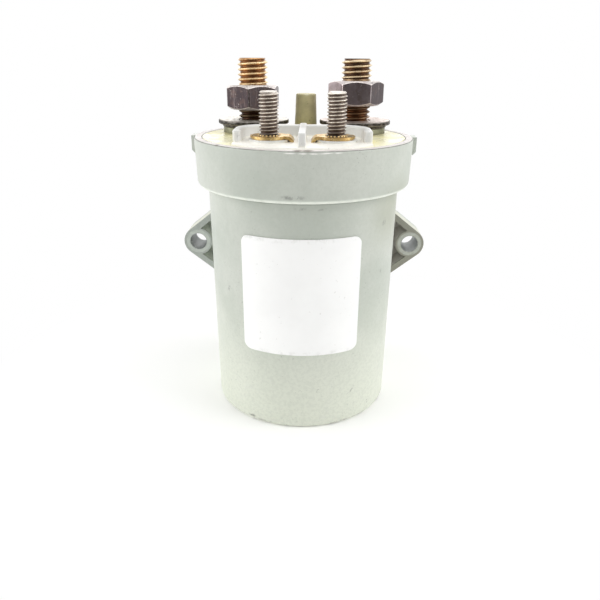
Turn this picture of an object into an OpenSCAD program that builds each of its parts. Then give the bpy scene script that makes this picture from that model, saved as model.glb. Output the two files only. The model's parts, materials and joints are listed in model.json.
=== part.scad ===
// High voltage DC contactor: a sealed moulded cup with side mounting ears. Two threaded power
// terminals and two threaded coil terminals stand on its potted top. A solenoid inside lifts a
// contact bridge against two fixed contacts.
// Millimetres. +Z is up, the origin is the centre of the base, and the ears face +Y.

/* [Housing] */
// Height of the moulded cup, base to rim
housing_h = 74.6; // [70:0.1:84]
// Body diameter at the base
base_d = 49.8; // [49:0.1:50.6]
// Body diameter just under the collar
body_d = 50.8; // [50:0.1:52]
// Collar diameter at the rim
collar_d = 57; // [56:0.1:62]
// Draft of the collar, taken off the diameter at its lower edge
collar_draft = 0.6; // [0:0.1:1]
// Height of the collar
collar_h = 12.1; // [10:0.1:15]
// Wall of the body at the base
wall_t = 2.2; // [1.6:0.1:2.6]
// Wall of the collar
collar_wall_t = 2.1; // [1.5:0.1:2.6]
// Floor of the cup
floor_t = 2.4; // [1.6:0.1:4]
// Rounding under the collar
collar_round = 1.4; // [0.8:0.1:2.6]
// Rounding at the base
base_round = 0.9; // [0.3:0.1:2]
// Rounding of the outer edge of the rim
rim_round = 0.5; // [0.2:0.1:0.9]

/* [Mounting ears] */
// Spacing of the two mounting holes
ear_pitch = 67; // [64:0.1:74]
// Diameter of the mounting holes
ear_hole_d = 5.2; // [4.2:0.1:6]
// Radius of the ear's tip and of the boss around the hole
ear_tip_r = 4.5; // [3.8:0.1:6]
// Slope of the ear's edges from the horizontal
ear_angle = 38; // [30:1:42]
// Height of the mounting holes above the base
ear_z = 39.3; // [36:0.1:44]
// Depth of the ears
ear_t = 10; // [7:0.1:12]
// How far the mounting face stands behind the collar
mount_proud = 0.3; // [0.1:0.1:2]
// Rib around the ear's edge and between its pockets
ear_rib_t = 1.75; // [1.2:0.05:2.2]
// Web at the back of the ear's front pockets
ear_web_t = 2; // [1.2:0.1:3]
// Half width of the straight part of the mounting flange
flange_half_w = 14; // [10:0.5:18]
// Number of cored pockets across the flange's back
back_cores = 5; // [3:1:7]

/* [Collar lugs] */
// Width of the two snap lugs on the collar
lug_w = 5; // [3:0.1:8]
// How far a lug stands out of the collar
lug_proud = 1.6; // [0.6:0.1:2]
// Height of a lug
lug_h = 4.6; // [3:0.1:6]
// Distance of the lugs behind the middle of the housing
lug_y = 4; // [2.6:0.1:8]

/* [Label] */
// Width of the label around the body
label_w = 31.7; // [20:0.1:40]
// Height of the label
label_h = 31.2; // [20:0.1:34]
// Height of the label's middle above the base
label_z = 38; // [30:0.1:43]
// Thickness of the label
label_t = 0.18; // [0.1:0.01:0.3]
// Corner radius of the label
label_corner_r = 2; // [0.5:0.1:4]

/* [Power terminals] */
// Thread diameter of the power studs
stud_d = 8; // [6:0.1:9]
// Spacing of the power studs
stud_pitch = 27.7; // [26.6:0.1:29]
// Distance of the power studs behind the middle
stud_y = 8.2; // [7.8:0.1:9]
// Height of the power studs above the rim
stud_proud = 18.7; // [17:0.1:26]
// Diameter of the stud's flange
stud_flange_d = 16.6; // [13:0.1:17]
// Height of the stud's flange above the rim
stud_flange_proud = 1.5; // [1:0.1:4]
// Diameter of the stud's tail, through the header and the fixed contact
stud_tail_d = 7; // [5.6:0.1:7.6]
// Lower plain washer, diameter
lower_washer_d = 17; // [15:0.1:18]
// Lower plain washer, thickness
lower_washer_t = 0.7; // [0.5:0.1:1.2]
// Upper flat washer, diameter
flat_washer_d = 19.2; // [17:0.1:20]
// Upper flat washer, thickness
flat_washer_t = 1.1; // [0.8:0.1:1.6]
// Nut size across its flats
nut_af = 13; // [12:0.1:15]
// Nut height
nut_h = 6.2; // [5:0.1:7]
// Height of the left nut above its washers
left_nut_gap = 2.6; // [0.5:0.1:3.4]
// Height of the right nut above its washers
right_nut_gap = 3.8; // [0.5:0.1:4.4]
// Turn of the left nut on its stud
left_nut_turn = 26; // [0:1:59]
// Turn of the right nut on its stud
right_nut_turn = 58; // [0:1:59]

/* [Coil terminals] */
// Thread diameter of the coil studs
coil_stud_d = 4.8; // [4:0.1:5]
// Spacing of the coil studs
coil_pitch = 16.2; // [15.6:0.1:18]
// Distance of the coil studs in front of the middle
coil_y = 13.2; // [12:0.1:14]
// Height of the coil studs above the rim
coil_stud_proud = 11.6; // [8:0.1:16]
// Thickness of the coil terminal strap
strap_t = 0.8; // [0.5:0.1:1.2]
// Radius of the strap's round end
strap_r = 4.6; // [4:0.1:5.2]
// Width of the strap's folded leg
strap_leg_w = 5.2; // [3:0.1:7]
// Teeth on the coil stud's press-in collar
knurl_teeth = 18; // [12:1:24]

/* [Terminal platform] */
// Overall width of the coil terminal platform
platform_w = 33.4; // [31:0.1:38]
// Height of the platform's floor above the rim
platform_proud = 0.2; // [0.1:0.1:1]
// Height of the platform's wall above its floor
platform_wall_h = 2.8; // [2:0.1:5]
// Thickness of the platform's wall
platform_wall_t = 2; // [1.4:0.1:2.4]
// Distance of the platform's back face in front of the middle
platform_back_y = 1.9; // [1.8:0.1:3]
// Corner radius at the back of the platform
platform_corner_r = 8; // [5:0.5:10]
// Distance of the wall's ends in front of the middle
platform_arm_y = 16.4; // [14:0.1:18]
// Thickness of the rib between the two coil terminals
rib_t = 1.7; // [1.2:0.1:2]
// How far that rib stands above the wall
rib_proud = 0.4; // [0:0.1:0.8]
// Distance of the rib's front end in front of the middle
rib_front_y = 24.2; // [20:0.1:24.4]
// Height of the round seat under each strap
strap_seat_h = 0.55; // [0.2:0.05:1]
// Margin of that seat around the strap
strap_seat_margin = 0.5; // [0.2:0.1:0.8]
// Width of the potting between the platform's front and the rim
platform_margin = 1.4; // [0.8:0.1:2.4]

/* [Potting and fill tube] */
// Depth of the potting's surface below the rim
potting_drop = 0.2; // [0:0.05:0.8]
// Diameter of the copper fill tube
fill_tube_d = 4; // [3:0.1:4.4]
// Diameter of the tube's cap at its top
cap_top_d = 5.5; // [5:0.1:5.8]
// Diameter of the tube's cap at its base
cap_base_d = 6.3; // [6:0.1:7]
// Height of the cap above the potting
cap_h = 9.9; // [8:0.1:14]
// Depth of the cap's base in the potting
cap_sunk = 1.5; // [1:0.1:2.5]
// Distance of the fill tube behind the middle
fill_y = 12.2; // [12:0.1:14]
// Distance of the fill tube to the right of the middle
fill_x = 0.4; // [-1:0.1:1]

/* [Contact chamber] */
// Height of the chamber below the housing's shelf
chamber_h = 20; // [17:0.1:24]
// Wall of the chamber
chamber_wall_t = 1.4; // [1:0.1:1.8]
// Floor of the chamber
chamber_floor_t = 2; // [1.2:0.1:3]
// Thickness of the header plate
header_t = 2.2; // [1.4:0.1:2.8]
// Gap between the open contacts
contact_gap = 1.3; // [0.8:0.1:1.6]
// Travel of the armature after the contacts touch
overtravel = 0.7; // [0.3:0.1:0.9]
// Spacing of the contact tips
tip_pitch = 23; // [20:0.1:25]
// Diameter of a contact tip
tip_d = 7; // [5:0.1:8]
// Thickness of a contact tip
tip_t = 0.9; // [0.5:0.1:1.2]
// Width of the contact bridge
bridge_w = 9.6; // [8:0.1:11]
// Thickness of the contact bridge
bridge_t = 2.5; // [2:0.1:3]
// Thickness of the fixed contact bars
bar_t = 2.6; // [2:0.1:3]

/* [Solenoid] */
// Wall of the steel yoke cup
yoke_t = 2.1; // [1.6:0.1:2.4]
// Thickness of the pole plate
plate_t = 3; // [2:0.1:4]
// Diameter of the plunger
plunger_d = 15.2; // [13:0.1:17]
// Length of the plunger
plunger_l = 16; // [12:0.1:18]
// Diameter of the actuator shaft
shaft_d = 4; // [3.4:0.1:4.6]
// Wall of the plunger's guide sleeve
sleeve_t = 0.4; // [0.3:0.05:0.8]
// Wall of the bobbin's tube
bobbin_t = 1; // [0.7:0.1:1.5]
// Thickness of the bobbin's flanges
bobbin_flange_t = 1.5; // [1:0.1:2]
// Depth of the winding on the bobbin
winding_t = 6.5; // [4:0.1:9]
// Diameter of the coil leads
lead_d = 1.2; // [0.8:0.1:1.4]
// Wire of the return spring
return_wire_d = 0.9; // [0.6:0.1:1]
// Wire of the contact spring
contact_wire_d = 1.1; // [0.8:0.1:1.2]

/* [Hidden] */
$fn = 64;

// Clearance of pieces that are fitted together and stay put
fit_gap = 0.05;
// Clearance of pieces that run in each other
run_gap = 0.1;
// Gap left where a moving piece reaches its stop
stop_gap = 0.05;
// Gap between the label and the body, the label's glue
glue_gap = 0.05;

// Housing, derived
collar_z = housing_h - collar_h;
collar_bore_r = collar_d / 2 - collar_wall_t;
shelf_z = collar_z + wall_t;
rim_chamfer = 0.3;
ear_x = ear_pitch / 2;
mount_y = collar_d / 2 + mount_proud;
pocket_x = max(base_d, body_d) / 2;

// Top of the housing, derived
bar_clear = 0.2;
header_base_z = shelf_z + chamber_wall_t + bar_clear + bar_t;
header_z = header_base_z + header_t;
potting_z = housing_h - potting_drop;
floor_z = housing_h + platform_proud;
wall_z = floor_z + platform_wall_h;
platform_front_r = collar_bore_r - platform_margin;
strap_z = floor_z + strap_seat_h;
strap_top_z = strap_z + strap_t;
stud_x = stud_pitch / 2;
coil_x = coil_pitch / 2;
leg_x = rib_t / 2 + run_gap + 1.5;
fold_x = leg_x + strap_t / 2 + strap_seat_h;

// Power terminals, derived. The thread is drawn at its major diameter where it is free, and at
// its pitch diameter where a nut is engaged.
flange_z = housing_h + stud_flange_proud;
washers_z = flange_z + lower_washer_t + flat_washer_t;
stud_z = housing_h + stud_proud;
engaged_d = stud_d * 0.9;
stud_chamfer = stud_d / 12;
washer_hole_d = stud_d + 0.6;

// Coil studs, derived
coil_stud_z = housing_h + coil_stud_proud;
knurl_r = coil_stud_d / 2 + 0.25;
knurl_depth = 0.2;
knurl_proud = 0.15;
coil_head_r = coil_stud_d / 2 + 1.8;
coil_head_t = 1;
coil_head_z = header_z + fit_gap;

// Contact chamber, derived
chamber_z = shelf_z - chamber_h;
chamber_r = min(bore_r(chamber_z), bore_r(shelf_z)) - run_gap;
chamber_in_r = chamber_r - chamber_wall_t;
chamber_flange_r = collar_bore_r - fit_gap;
travel = contact_gap + overtravel;
bar_z = header_base_z - bar_t;
tip_z = bar_z - tip_t;
bridge_tip_z = tip_z - contact_gap - stop_gap;
bridge_top_z = bridge_tip_z - tip_t;
bridge_z = bridge_top_z - bridge_t;
tip_x = tip_pitch / 2;
bar_r = tip_d / 2 + 0.8;
bar_end_r = stud_tail_d / 2 + 1;
seat_t = 1.2;
seat_r = 5.2;
seat_z = chamber_z + chamber_floor_t + 0.5;
clip_t = 0.8;
clip_r = shaft_d / 2 + 1.5;
clip_groove = 0.35;
clip_z = bridge_top_z + stop_gap;
shaft_z = clip_z + clip_t + 1;

// Solenoid, derived
plate_z = chamber_z - plate_t;
yoke_r = min(bore_r(floor_t), bore_r(chamber_z)) - fit_gap;
yoke_in_r = yoke_r - yoke_t;
yoke_floor_z = floor_t + yoke_t;
sleeve_in_r = plunger_d / 2 + run_gap;
sleeve_r = sleeve_in_r + sleeve_t;
plunger_z = yoke_floor_z + sleeve_t + stop_gap;
plunger_top_z = plunger_z + plunger_l;
core_z = plunger_top_z + travel + stop_gap;
core_neck_r = plunger_d / 2 - 2.6;
spring_r = shaft_d / 2 + 1.3;
spring_pocket_r = spring_r + return_wire_d / 2 + 0.3;
pocket_l = 5;
contact_spring_r = shaft_d / 2 + 1.9;
bobbin_in_r = sleeve_r + fit_gap;
bobbin_tube_r = bobbin_in_r + bobbin_t;
bobbin_r = yoke_in_r - 0.2;
bobbin_top_z = plate_z - 0.2;
winding_r = bobbin_tube_r + winding_t;
winding_z = yoke_floor_z + bobbin_flange_t;
winding_top_z = bobbin_top_z - bobbin_flange_t;

// Coil leads, derived. Each runs from its strap's leg along a channel under the platform, down
// between the chamber and the housing, and through a slot to the winding.
lead_y = chamber_r - lead_d / 2 - 0.35;
lead_groove_y = lead_y - lead_d / 2 - 0.3;
lead_slot_w = 2 * leg_x + lead_d + 0.8;
lead_slot_y = winding_r - 1.4;
lead_channel_h = lead_d + 0.8;
lead_sides = 8;

// Points of an arc around c, from angle a to angle b
function arc(c, r, a, b, n = 8) =
    [for (i = [0:n]) c + r * [cos(a + (b - a) * i / n), sin(a + (b - a) * i / n)]];

// Radius of the drafted body at height z, outside and inside
function body_r(z) = base_d / 2 + (body_d - base_d) / 2 * z / collar_z;
function bore_r(z) = body_r(z) - wall_t;

// Faces of a tube of rings with the given number of sides, closed at both ends
function tube_faces(rings, sides) = concat(
    [[for (j = [0:sides - 1]) sides - 1 - j]],
    [for (i = [0:rings - 2], j = [0:sides - 1])
        [i * sides + j, i * sides + (j + 1) % sides,
         (i + 1) * sides + (j + 1) % sides, (i + 1) * sides + j]],
    [[for (j = [0:sides - 1]) (rings - 1) * sides + j]]);

// Disc with a round hole
module ring(r, hole_r, h) {
    difference() {
        cylinder(r = r, h = h);
        translate([0, 0, -1]) cylinder(r = hole_r, h = h + 2);
    }
}

// Flat outline with round corners, centred
module rounded_rectangle(w, h, r) {
    square([w - 2 * r, h], center = true);
    square([w, h - 2 * r], center = true);
    for (sx = [-1, 1], sy = [-1, 1])
        translate([sx * (w / 2 - r), sy * (h / 2 - r)]) circle(r = r);
}

// Round wire wound into a helix around Z, between the heights z0 and z1
module helix(r, wire_d, z0, z1, turns) {
    sides = 8;
    steps = ceil(turns * 18);
    w = wire_d / 2;
    points = [for (i = [0:steps], j = [0:sides - 1])
        let (a = 360 * turns * i / steps, b = 360 * j / sides, q = r + w * cos(b))
        [q * cos(a), q * sin(a), z0 + w + (z1 - z0 - wire_d) * i / steps + w * sin(b)]];
    polyhedron(points, tube_faces(steps + 1, sides), convexity = 8);
}

// Round wire along a route in a plane of constant X, given as [y, z] points
module planar_wire(x, route, wire_d) {
    n = len(route);
    function heading(i) =
        let (d = route[min(i + 1, n - 1)] - route[max(i - 1, 0)]) d / norm(d);
    points = [for (i = [0:n - 1], j = [0:lead_sides - 1])
        let (t = heading(i), b = 360 * j / lead_sides, w = wire_d / 2)
        [x + w * cos(b), route[i][0] - t[1] * w * sin(b), route[i][1] + t[0] * w * sin(b)]];
    polyhedron(points, tube_faces(n, lead_sides), convexity = 8);
}

// Cup of the housing: drafted body, round-edged collar, shelf and floor
module cup() {
    r_low = collar_d / 2 - collar_draft / 2;
    rotate_extrude($fn = 128) polygon(concat(
        [[0, 0]],
        arc([base_d / 2 - base_round, base_round], base_round, -90, 0),
        [[body_d / 2, collar_z]],
        arc([r_low - collar_round, collar_z + collar_round], collar_round, -90, 0),
        arc([collar_d / 2 - rim_round, housing_h - rim_round], rim_round, 0, 90),
        [[collar_bore_r + rim_chamfer, housing_h],
         [collar_bore_r, housing_h - rim_chamfer],
         [collar_bore_r, shelf_z], [bore_r(shelf_z), shelf_z], [bore_r(floor_t), floor_t],
         [0, floor_t]]));
}

// Outline of the mounting flange with tips of radius r, in X and Z around the holes' height
module ear_outline(r) {
    tip = [ear_x + r * sin(ear_angle), r * cos(ear_angle)];
    root_z = tip[1] + (tip[0] - flange_half_w) * tan(ear_angle);
    polygon([for (q = [[flange_half_w, root_z], tip, [tip[0], -tip[1]], [flange_half_w, -root_z],
        [-flange_half_w, -root_z], [-tip[0], -tip[1]], [-tip[0], tip[1]],
        [-flange_half_w, root_z]]) q]);
    for (s = [-1, 1]) translate([s * ear_x, 0]) circle(r = r);
}

// Space inside the flange's rim, around the bosses of the holes
module ear_pocket_outline() {
    difference() {
        ear_outline(ear_tip_r - ear_rib_t);
        for (s = [-1, 1]) translate([s * ear_x, 0]) circle(r = ear_tip_r - 0.2);
    }
}

// Lays an outline in X and Z at height ear_z, and extrudes it over the depth y0 to y1
module along_y(y0, y1) {
    translate([0, y1, ear_z]) rotate([90, 0, 0]) linear_extrude(y1 - y0) children();
}

// Mounting flange: ears with pockets beside their bosses, and a back face cored between ribs
module mounting_flange() {
    front_y = mount_y - ear_t;
    core_half_w = pocket_x - ear_rib_t / 2;
    core_pitch = 2 * core_half_w / back_cores;
    difference() {
        along_y(front_y, mount_y) ear_outline(ear_tip_r);
        rotate_extrude($fn = 128) polygon([
            [0, floor_t / 2], [bore_r(0) + wall_t / 2, floor_t / 2],
            [bore_r(collar_z) + wall_t / 2, collar_z + wall_t / 2],
            [collar_bore_r + collar_wall_t / 2, collar_z + wall_t / 2],
            [collar_bore_r + collar_wall_t / 2, housing_h], [0, housing_h]]);
        along_y(front_y - 1, mount_y - ear_web_t) difference() {
            ear_pocket_outline();
            square([2 * pocket_x, housing_h * 2], center = true);
        }
        difference() {
            along_y(front_y + ear_web_t, mount_y + 1) intersection() {
                ear_pocket_outline();
                for (i = [0:back_cores - 1], s = [-1, 1])
                    translate([(i + 0.5) * core_pitch - core_half_w, s * housing_h / 2])
                        square([core_pitch - ear_rib_t, housing_h - ear_rib_t], center = true);
            }
            cylinder(r1 = base_d / 2, r2 = body_d / 2, h = collar_z, $fn = 128);
        }
    }
}

// Snap lug on the collar's side, with a chamfered lower end
module collar_lug() {
    x0 = collar_d / 2 - collar_wall_t / 2;
    x1 = collar_d / 2 + lug_proud;
    top = housing_h - rim_round;
    chamfer = lug_proud / 2;
    translate([0, lug_y + lug_w / 2, 0]) rotate([90, 0, 0]) linear_extrude(lug_w)
        polygon([[x0, top], [x1, top], [x1, top - lug_h + chamfer], [x1 - chamfer, top - lug_h],
                 [x0, top - lug_h]]);
}

module housing() {
    color([0.77, 0.79, 0.74]) difference() {
        union() {
            cup();
            mounting_flange();
            collar_lug();
            mirror([1, 0, 0]) collar_lug();
        }
        for (s = [-1, 1]) translate([s * ear_x, mount_y + 1, ear_z])
            rotate([90, 0, 0]) cylinder(d = ear_hole_d, h = ear_t + 2);
    }
}

// Label: a film that follows the drafted body
module label() {
    z0 = label_z - label_h / 2;
    z1 = label_z + label_h / 2;
    chord = 2 * body_r(label_z) * sin(label_w / 2 / body_r(label_z) * 180 / PI);
    color([0.96, 0.96, 0.95]) intersection() {
        rotate_extrude($fn = 128) polygon([
            [body_r(z0) + glue_gap, z0], [body_r(z0) + glue_gap + label_t, z0],
            [body_r(z1) + glue_gap + label_t, z1], [body_r(z1) + glue_gap, z1]]);
        translate([0, 0, label_z]) rotate([90, 0, 0]) linear_extrude(body_d)
            rounded_rectangle(chord, label_h, label_corner_r);
    }
}

// Outline of the coil terminal platform, grown by a margin: round corners behind, the rim's
// own curve in front
module platform_outline(grow = 0) {
    r = platform_corner_r;
    half_w = platform_w / 2 + grow;
    back = platform_back_y - grow;
    intersection() {
        circle(r = platform_front_r + grow, $fn = 128);
        union() {
            translate([-half_w, -collar_d]) square([2 * half_w, collar_d - back - r]);
            translate([-half_w + r, -back - 2 * r]) square([2 * (half_w - r), 2 * r]);
            for (s = [-1, 1]) translate([s * (half_w - r), -back - r]) circle(r = r);
        }
    }
}

// Upstanding wall of the platform, bent around the two coil terminals, with round-nosed ends
module platform_wall_outline() {
    nose_r = platform_wall_t / 2;
    nose_y = nose_r - platform_arm_y;
    difference() {
        platform_outline();
        platform_outline(-platform_wall_t);
        translate([-collar_d, nose_y - collar_d]) square([2 * collar_d, collar_d]);
    }
    for (s = [-1, 1]) translate([s * (platform_w / 2 - nose_r), nose_y]) circle(r = nose_r);
}

// Seat under a strap: round, cut straight where the strap folds down
module strap_seat_outline() {
    intersection() {
        translate([coil_x, -coil_y]) circle(r = strap_r + strap_seat_margin);
        translate([fold_x + fit_gap, -2 * coil_y]) square([platform_w, 2 * coil_y]);
    }
}

module coil_terminal_platform() {
    color([0.93, 0.94, 0.95]) difference() {
        union() {
            translate([0, 0, header_z]) linear_extrude(floor_z - header_z) platform_outline();
            translate([0, 0, floor_z]) linear_extrude(platform_wall_h) platform_wall_outline();
            translate([-rib_t / 2, -rib_front_y, floor_z - 1])
                cube([rib_t, rib_front_y - platform_back_y - platform_wall_t / 2,
                      platform_wall_h + rib_proud + 1]);
            for (m = [0, 1]) mirror([m, 0, 0]) translate([0, 0, floor_z - 1])
                linear_extrude(strap_seat_h + 1) strap_seat_outline();
        }
        for (s = [-1, 1]) {
            translate([s * coil_x, -coil_y, header_z - 1]) {
                cylinder(r = knurl_r + fit_gap, h = housing_h);
                cylinder(r = coil_head_r + fit_gap, h = coil_head_z + coil_head_t - header_z + 1);
            }
            translate([s * leg_x - strap_t / 2 - fit_gap, -coil_y - strap_leg_w / 2 - fit_gap,
                       header_z - 1])
                cube([strap_t + 2 * fit_gap, strap_leg_w + 2 * fit_gap, housing_h]);
        }
        translate([-lead_slot_w / 2, -lead_y - lead_d, header_z - 1])
            cube([lead_slot_w, lead_y + lead_d - coil_y, lead_channel_h + 1]);
    }
}

// Epoxy cast around everything that stands on the header plate
module potting() {
    color([0.94, 0.92, 0.80]) difference() {
        translate([0, 0, header_z])
            cylinder(r = collar_bore_r - fit_gap, h = potting_z - header_z, $fn = 128);
        translate([0, 0, header_z - 1]) linear_extrude(housing_h) platform_outline(fit_gap);
        for (s = [-1, 1]) translate([s * stud_x, stud_y, header_z - 1])
            cylinder(d = stud_flange_d + 2 * fit_gap, h = housing_h);
        translate([fill_x, fill_y, header_z - 1])
            cylinder(d = fill_tube_d + 2 * fit_gap, h = housing_h);
        translate([fill_x, fill_y, potting_z - cap_sunk])
            cylinder(d = cap_base_d + 2 * fit_gap, h = housing_h);
    }
}

// Turned copper power stud, with its flange on the header plate and its tail in the fixed contact
module power_stud(nut_z) {
    neck = fit_gap + run_gap;
    color([0.62, 0.45, 0.30]) rotate_extrude() polygon([
        [0, bar_z], [stud_tail_d / 2, bar_z], [stud_tail_d / 2, header_z],
        [stud_flange_d / 2, header_z],
        [stud_flange_d / 2, flange_z - 0.3], [stud_flange_d / 2 - 0.3, flange_z],
        [stud_d / 2, flange_z], [stud_d / 2, nut_z - neck], [engaged_d / 2, nut_z - neck],
        [engaged_d / 2, nut_z + nut_h + neck], [stud_d / 2, nut_z + nut_h + neck],
        [stud_d / 2, stud_z - stud_chamfer], [stud_d / 2 - stud_chamfer, stud_z], [0, stud_z]]);
}

// Hexagon nut with both faces chamfered and both ends of its bore countersunk
module hex_nut() {
    corner_r = nut_af / sqrt(3);
    cone_r = corner_r + 0.2;
    face_r = nut_af / 2 - 0.4;
    chamfer_h = (cone_r - face_r) * tan(32);
    sink = 0.4;
    bore = engaged_d / 2 + run_gap / 2;
    color([0.42, 0.40, 0.41]) difference() {
        intersection() {
            cylinder(r = corner_r, h = nut_h, $fn = 6);
            rotate_extrude() polygon([
                [0, 0], [face_r, 0], [cone_r, chamfer_h], [cone_r, nut_h - chamfer_h],
                [face_r, nut_h], [0, nut_h]]);
        }
        rotate_extrude() polygon([
            [0, -1], [bore + sink + 1, -1], [bore + sink, 0], [bore, sink], [bore, nut_h - sink],
            [bore + sink, nut_h], [bore + sink + 1, nut_h + 1], [0, nut_h + 1]]);
    }
}

// Plain washer with slightly broken edges
module washer(d, t) {
    edge = t / 5;
    color([0.60, 0.58, 0.56]) rotate_extrude() polygon([
        [washer_hole_d / 2, 0], [d / 2 - edge, 0], [d / 2, edge], [d / 2, t - edge],
        [d / 2 - edge, t], [washer_hole_d / 2, t]]);
}

// Brass coil strap: a round end under the stud, and a leg that slopes off the edge of its seat and
// then goes down through the platform, both bends mitred
module coil_strap() {
    mitre = strap_t * tan(22.5);
    leg_z = header_z + lead_channel_h / 2;
    color([0.72, 0.58, 0.33]) difference() {
        union() {
            translate([coil_x, -coil_y, strap_z]) cylinder(r = strap_r, h = strap_t);
            translate([0, strap_leg_w / 2 - coil_y, 0]) rotate([90, 0, 0]) linear_extrude(strap_leg_w)
                polygon([
                    [coil_x, strap_z], [fold_x, strap_z], [leg_x + strap_t / 2, floor_z],
                    [leg_x + strap_t / 2, leg_z], [leg_x - strap_t / 2, leg_z],
                    [leg_x - strap_t / 2, floor_z + mitre], [fold_x - mitre, strap_top_z],
                    [coil_x, strap_top_z]]);
        }
        translate([coil_x, -coil_y, strap_z - 1])
            cylinder(r = knurl_r + fit_gap, h = strap_t + 2);
    }
}

// Steel coil stud: a head held under the platform, a toothed press-in collar and a thread
module coil_stud() {
    top = coil_stud_z;
    edge = coil_stud_d / 10;
    color([0.55, 0.53, 0.50]) union() {
        translate([0, 0, coil_head_z]) cylinder(r = coil_head_r, h = coil_head_t);
        translate([0, 0, coil_head_z]) linear_extrude(strap_top_z + knurl_proud - coil_head_z)
            polygon([for (i = [0:2 * knurl_teeth - 1]) let (a = 180 * i / knurl_teeth)
                (knurl_r - (i % 2) * knurl_depth) * [cos(a), sin(a)]]);
        translate([0, 0, coil_head_z]) rotate_extrude() polygon([
            [0, 0], [coil_stud_d / 2, 0], [coil_stud_d / 2, top - edge - coil_head_z],
            [coil_stud_d / 2 - edge, top - coil_head_z], [0, top - coil_head_z]]);
    }
}

// Copper fill tube, open in the chamber and pinched flat at its upper end
module fill_tube() {
    bottom = header_base_z - 1;
    pinch_z = potting_z + cap_h / 3;
    pinch_t = fill_tube_d * 0.4;
    color([0.72, 0.45, 0.30]) translate([fill_x, fill_y, 0]) {
        difference() {
            translate([0, 0, bottom]) cylinder(d = fill_tube_d, h = pinch_z - bottom);
            translate([0, 0, bottom - 1]) cylinder(d = fill_tube_d * 0.6, h = pinch_z - bottom);
        }
        intersection() {
            translate([0, 0, pinch_z - 0.5]) cylinder(d = fill_tube_d, h = cap_h / 3);
            translate([-fill_tube_d, -pinch_t / 2, pinch_z - 1])
                cube([2 * fill_tube_d, pinch_t, cap_h]);
        }
    }
}

// Tapered cap that covers the pinched tube
module fill_tube_cap() {
    edge = 0.4;
    bottom = potting_z - cap_sunk;
    top = potting_z + cap_h;
    color([0.56, 0.54, 0.41]) translate([fill_x, fill_y, 0]) rotate_extrude() polygon([
        [fill_tube_d / 2 + fit_gap, bottom], [cap_base_d / 2, bottom],
        [cap_base_d / 2, potting_z], [cap_top_d / 2, top - edge], [cap_top_d / 2 - edge, top],
        [0, top], [0, potting_z + cap_h * 0.8], [fill_tube_d / 2 + fit_gap, potting_z + cap_h * 0.8]]);
}

// Insulating header: a plate on the chamber's flange that carries the terminals
module header_plate() {
    hole_z = header_base_z - 1;
    hole_h = header_t + 2;
    color([0.85, 0.83, 0.76]) difference() {
        translate([0, 0, header_base_z]) cylinder(r = chamber_flange_r, h = header_t, $fn = 128);
        for (s = [-1, 1]) {
            translate([s * stud_x, stud_y, hole_z])
                cylinder(d = stud_tail_d + 2 * fit_gap, h = hole_h);
            translate([s * leg_x, -lead_y, hole_z]) cylinder(d = lead_d + 0.4, h = hole_h);
        }
        translate([fill_x, fill_y, hole_z]) cylinder(d = fill_tube_d + 2 * fit_gap, h = hole_h);
    }
}

// Inside of the contact chamber, round but for a flat beside the coil leads
module chamber_inside(r) {
    flat_w = lead_slot_w + 2 * chamber_wall_t;
    difference() {
        circle(r = r);
        translate([-flat_w / 2, chamber_wall_t - lead_groove_y - collar_d]) square([flat_w, collar_d]);
    }
}

// Insulating cup that holds the contacts: its flange sits on the housing's shelf, and a groove
// in front passes the coil leads
module contact_chamber() {
    flange_h = header_base_z - shelf_z;
    color([0.78, 0.76, 0.70]) difference() {
        union() {
            translate([0, 0, chamber_z]) cylinder(r = chamber_r, h = chamber_h + flange_h / 2);
            translate([0, 0, shelf_z]) cylinder(r = chamber_flange_r, h = flange_h, $fn = 128);
        }
        translate([0, 0, chamber_z + chamber_floor_t]) linear_extrude(housing_h)
            chamber_inside(chamber_in_r);
        translate([0, 0, shelf_z + chamber_wall_t]) linear_extrude(housing_h)
            chamber_inside(chamber_flange_r - chamber_wall_t);
        translate([-lead_slot_w / 2, -lead_groove_y - collar_d, 0])
            cube([lead_slot_w, collar_d, housing_h]);
        cylinder(d = shaft_d + 1.2, h = housing_h);
    }
}

// Fixed contact: a bar from the stud's tail to its contact tip
module fixed_contact() {
    from = [stud_x, stud_y];
    to = [tip_x, 0];
    reach = norm(to - from);
    turn = atan2(to[1] - from[1], to[0] - from[0]);
    color([0.72, 0.45, 0.30]) difference() {
        union() {
            translate([0, 0, bar_z]) linear_extrude(bar_t) {
                translate(from) circle(r = bar_end_r);
                translate(to) circle(r = bar_r);
                translate(from) rotate(turn) translate([0, -bar_r]) square([reach, 2 * bar_r]);
            }
            translate([tip_x, 0, tip_z]) cylinder(d = tip_d, h = tip_t + 0.5);
        }
        translate([stud_x, stud_y, bar_z - 1])
            cylinder(d = stud_tail_d + 2 * fit_gap, h = bar_t + 2);
    }
}

// Contact bridge: a round-ended copper bar with a contact tip at each end
module contact_bridge() {
    color([0.72, 0.45, 0.30]) difference() {
        union() {
            translate([0, 0, bridge_z]) linear_extrude(bridge_t) {
                square([tip_pitch, bridge_w], center = true);
                for (s = [-1, 1]) translate([s * tip_x, 0]) circle(d = bridge_w);
            }
            for (s = [-1, 1]) translate([s * tip_x, 0, bridge_top_z - 0.5])
                cylinder(d = tip_d, h = tip_t + 0.5);
        }
        translate([0, 0, bridge_z - 1]) cylinder(d = shaft_d + 2 * run_gap, h = bridge_t + 2);
    }
}

module contact_spring() {
    color([0.62, 0.63, 0.65])
        helix(contact_spring_r, contact_wire_d, seat_z + seat_t, bridge_z, 4);
}

module spring_seat() {
    color([0.55, 0.56, 0.58]) translate([0, 0, seat_z])
        ring(seat_r, shaft_d / 2 + fit_gap, seat_t);
}

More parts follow.
